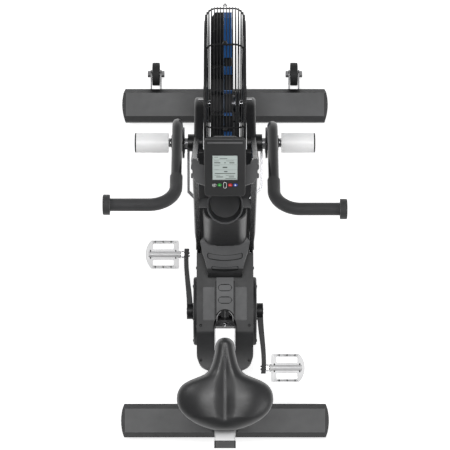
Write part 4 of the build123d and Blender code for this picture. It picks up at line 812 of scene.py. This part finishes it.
def surfaces(*names):
    """Search tree over the faces of some CAD nodes."""
    points, faces = [], []
    for name in names:
        thing = nodes[name]
        start = len(points)
        points += [thing.matrix_world @ v.co for v in thing.data.vertices]
        faces += [[start + v for v in face.vertices] for face in thing.data.polygons]
    return BVHTree.FromPolygons(points, faces)


def draped(tree, outline, lift=0.0):
    """Drops (x, y) points onto the highest surface below them."""
    out = []
    for x, y in outline:
        place = tree.ray_cast(Vector((x, y, 2.0)), Vector((0, 0, -1)))[0]
        if place:
            out.append((x, y, place.z + lift))
    return out


def bent_slot(centre_y, radius, half, deep, corner=0.0035):
    """Outline of a curved slot, with its ends rounded."""
    outline = []
    for sign in (1, -1):
        reach = radius + sign * deep / 2
        for step in range(-12, 13):
            x = sign * step / 12 * (half - corner)
            outline.append((x, centre_y - math.sqrt(reach * reach - x * x)))
        end = sign * half
        for shift in (0.5, 0.0, -0.5):
            middle = centre_y - math.sqrt((radius + sign * shift * deep * 0.6) ** 2 - end * end)
            outline.append((end, middle))
    return outline


def oblong(y, half_x, half_y, steps=8):
    """Outline of a slot with half-round ends."""
    outline = []
    for sign in (1, -1):
        for step in range(steps + 1):
            turn = math.pi * (step / steps - 0.5)
            x = half_x - half_y + half_y * math.cos(turn)
            outline.append((sign * x, y + sign * half_y * math.sin(turn)))
    return outline


def arch_line(name, reach, material, radius):
    """Line along the arched rim round the seat tube's mouth."""
    path = [(-reach, ARCH_FOOT_Y)]
    for step in range(17):
        turn = math.pi * (step / 16 - 0.5)
        path.append((reach * math.sin(turn), ARCH_Y + reach * math.cos(turn)))
    path.append((reach, ARCH_FOOT_Y))
    return tube(name, draped(top_skin, path, 0.0003), radius, material, "frame", sides=8)


seam_black = moulded(
    "seam_black", (0.003, 0.003, 0.0033), (0.006, 0.006, 0.0065), rough=(0.6, 0.8), grain=900,
    depth=0.1,
)
rim_highlight = moulded(
    "rim_highlight", (0.26, 0.26, 0.265), (0.34, 0.34, 0.345), rough=(0.4, 0.55), grain=900, depth=0.1,
)
top_skin = surfaces("neck_cover", "spine_cover", "shroud_right", "shroud_left")
lines = {
    "neck_line_upper": bent_slot(RECESS_CENTRE_Y, 0.190, 0.050, 0.015),
    "neck_line_lower": bent_slot(RECESS_CENTRE_Y, 0.221, 0.038, 0.010),
    "spine_line_front": oblong(-0.191, 0.020, 0.0095),
    "spine_line_rear": oblong(-0.2275, 0.020, 0.0095),
}
for name, outline in lines.items():
    tube(name, draped(top_skin, outline, 0.0004), 0.0010, seam_black, "frame", closed=True, sides=8)
for side, tag in ((1, "right"), (-1, "left")):
    seam_path = [(SPINE_SEAM_X * side, SPINE_SEAM_START - SPINE_SEAM_STEP * k) for k in range(25)]
    tube("spine_seam_" + tag, draped(top_skin, seam_path, 0.0004), 0.0012, seam_black, "frame", sides=8)
# the pale line round the arch paints the highlight on its rim
arch_line("arch_rim_highlight", 0.0228, rim_highlight, 0.0013)
arch_line("arch_seam", 0.0262, seam_black, 0.0014)


# ---------------------------------------------------------------- pedal treads
TREAD_LINE = 0.90  # share of the pedal's half width, over its outer bars
tread_grey = moulded(
    "tread_grey", (0.10, 0.10, 0.102), (0.15, 0.15, 0.152), rough=(0.4, 0.55), grain=900, depth=0.1,
)


def pedal_tread(tag):
    """Tread lines and marks on one pedal's top."""
    name, body = f"pedal_{tag}", f"{tag}_pedal"
    low, high = (Vector(corner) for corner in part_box(name))
    middle = (low + high) / 2
    reach_x, reach_y = (high.x - low.x) / 2, (high.y - low.y) / 2
    skin = surfaces(name)
    for number, along in enumerate((-TREAD_LINE, TREAD_LINE)):
        edge = [(middle.x + reach_x * t / 10, middle.y + reach_y * along) for t in range(-6, 7)]
        line = draped(skin, edge, 0.0004)
        tube(f"pedal_tread_{tag}_{number}", line, 0.0009, tread_grey, body, sides=8)
    marks = [(x, y) for y in (-TREAD_LINE, TREAD_LINE) for x in (-0.45, 0.0, 0.45)]
    marks += [(x, y) for x in (-0.72, 0.72) for y in (-0.25, 0.25)]
    for number, (x, y) in enumerate(marks):
        spot = [(middle.x + reach_x * x, middle.y + reach_y * y + shift) for shift in (-0.0025, 0.0, 0.0025)]
        line = draped(skin, spot, 0.0002)
        tube(f"pedal_mark_{tag}_{number}", line, 0.0018, seam_black, body, sides=8)


pedal_tread("right")
pedal_tread("left")


# ---------------------------------------------------------------- pivot hardware
NUT_RADIUS, NUT_ENDS = 0.0135, (0.1574, 0.1600, 0.1640)
pivot_low, pivot_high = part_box("pivot_collars")
pivot_y = (pivot_low.y + pivot_high.y) / 2
pivot_z = (pivot_low.z + pivot_high.z) / 2
for side, tag in ((1, "right"), (-1, "left")):
    head = [(side * x, pivot_y, pivot_z) for x in NUT_ENDS]
    tube("pivot_nut_" + tag, head, NUT_RADIUS, steel, "frame", sides=24)


# ---------------------------------------------------------------- screws
SHROUD_SIDE_X, TOP_SCREW_X, COVER_SIDE_X = 0.083, 0.071, 0.094
SHROUD_SCREWS = (
    (-0.300, 0.210), (-0.300, 0.450), (-0.130, 0.180), (-0.130, 0.480), (0.060, 0.180), (0.190, 0.170),
)
CRANK_Y, CRANK_Z, COVER_RING, COVER_SCREWS = -0.249, 0.330, 0.088, 5
bolt = moulded(
    "screw_black", (0.004, 0.004, 0.0045), (0.008, 0.008, 0.0085), rough=(0.4, 0.55), grain=900,
    depth=0.1,
)
for side, tag in ((1, "right"), (-1, "left")):
    for number, (y, z) in enumerate(SHROUD_SCREWS):
        place = (SHROUD_SIDE_X * side, y, z)
        screw(f"shroud_screw_{tag}_{number}", place, (side, 0, 0), 0.0045, bolt, "frame")
    for number, y in enumerate((-0.300, -0.400)):
        seat = draped(top_skin, [(TOP_SCREW_X * side, y)])[0]
        screw(f"shroud_top_screw_{tag}_{number}", seat, (0, 0, 1), 0.0042, bolt, "frame")
    for number in range(COVER_SCREWS):
        turn = math.radians(36 + 360 / COVER_SCREWS * number)
        y, z = CRANK_Y + COVER_RING * math.cos(turn), CRANK_Z + COVER_RING * math.sin(turn)
        screw(
            f"cover_screw_{tag}_{number}", (COVER_SIDE_X * side, y, z), (side, 0, 0), 0.004, bolt,
            "frame",
        )


# ---------------------------------------------------------------- studio
def area(name, place, size, power, aim=(0, 0, 0.5)):
    """Soft square light aimed at a point."""
    lamp = bpy.data.lights.new(name, "AREA")
    lamp.size = size
    lamp.energy = power
    thing = bpy.data.objects.new(name, lamp)
    thing.location = place
    thing.rotation_euler = (Vector(aim) - Vector(place)).to_track_quat("-Z", "Y").to_euler()
    bpy.context.scene.collection.objects.link(thing)


area("key", (-2.6, 1.6, 3.2), 1.2, 34)
area("fill", (2.8, -1.4, 2.6), 1.4, 30)
area("top", (0.0, 0.2, 4.8), 1.4, 105)

world = bpy.data.worlds.new("studio")
bpy.context.scene.world = world
world.use_nodes = True
world.node_tree.nodes["Background"].inputs["Color"].default_value = (1, 1, 1, 1)
world.node_tree.nodes["Background"].inputs["Strength"].default_value = 0.16

mesh = bpy.data.meshes.new("floor")
half = 9
corners = [(-half, -half, 0), (half, -half, 0), (half, half, 0), (-half, half, 0)]
mesh.from_pydata(corners, [], [(0, 1, 2, 3)])
floor = bpy.data.objects.new("floor", mesh)
bpy.context.scene.collection.objects.link(floor)
floor_material, floor_tree, floor_shader = new_material("pale_floor")
floor_shader.inputs["Base Color"].default_value = (0.93, 0.93, 0.93, 1)
floor_shader.inputs["Roughness"].default_value = 0.8
floor_shader.inputs["Emission Color"].default_value = (1, 1, 1, 1)
floor_shader.inputs["Emission Strength"].default_value = 0.66
mesh.materials.append(floor_material)
floor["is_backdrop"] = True

# the camera leans 5 degrees forward and aims at the floor just in front of the bike's middle
camera = bpy.data.cameras.new("camera")
camera.lens = 197.5
camera.sensor_width = 36
camera.clip_end = 60
eye = bpy.data.objects.new("camera", camera)
eye.location = (0.0, -0.637, 7.726)
eye.rotation_euler = (math.radians(5), 0, 0)
bpy.context.scene.collection.objects.link(eye)
bpy.context.scene.camera = eye
bpy.context.scene.view_settings.view_transform = "Standard"

low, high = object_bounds()
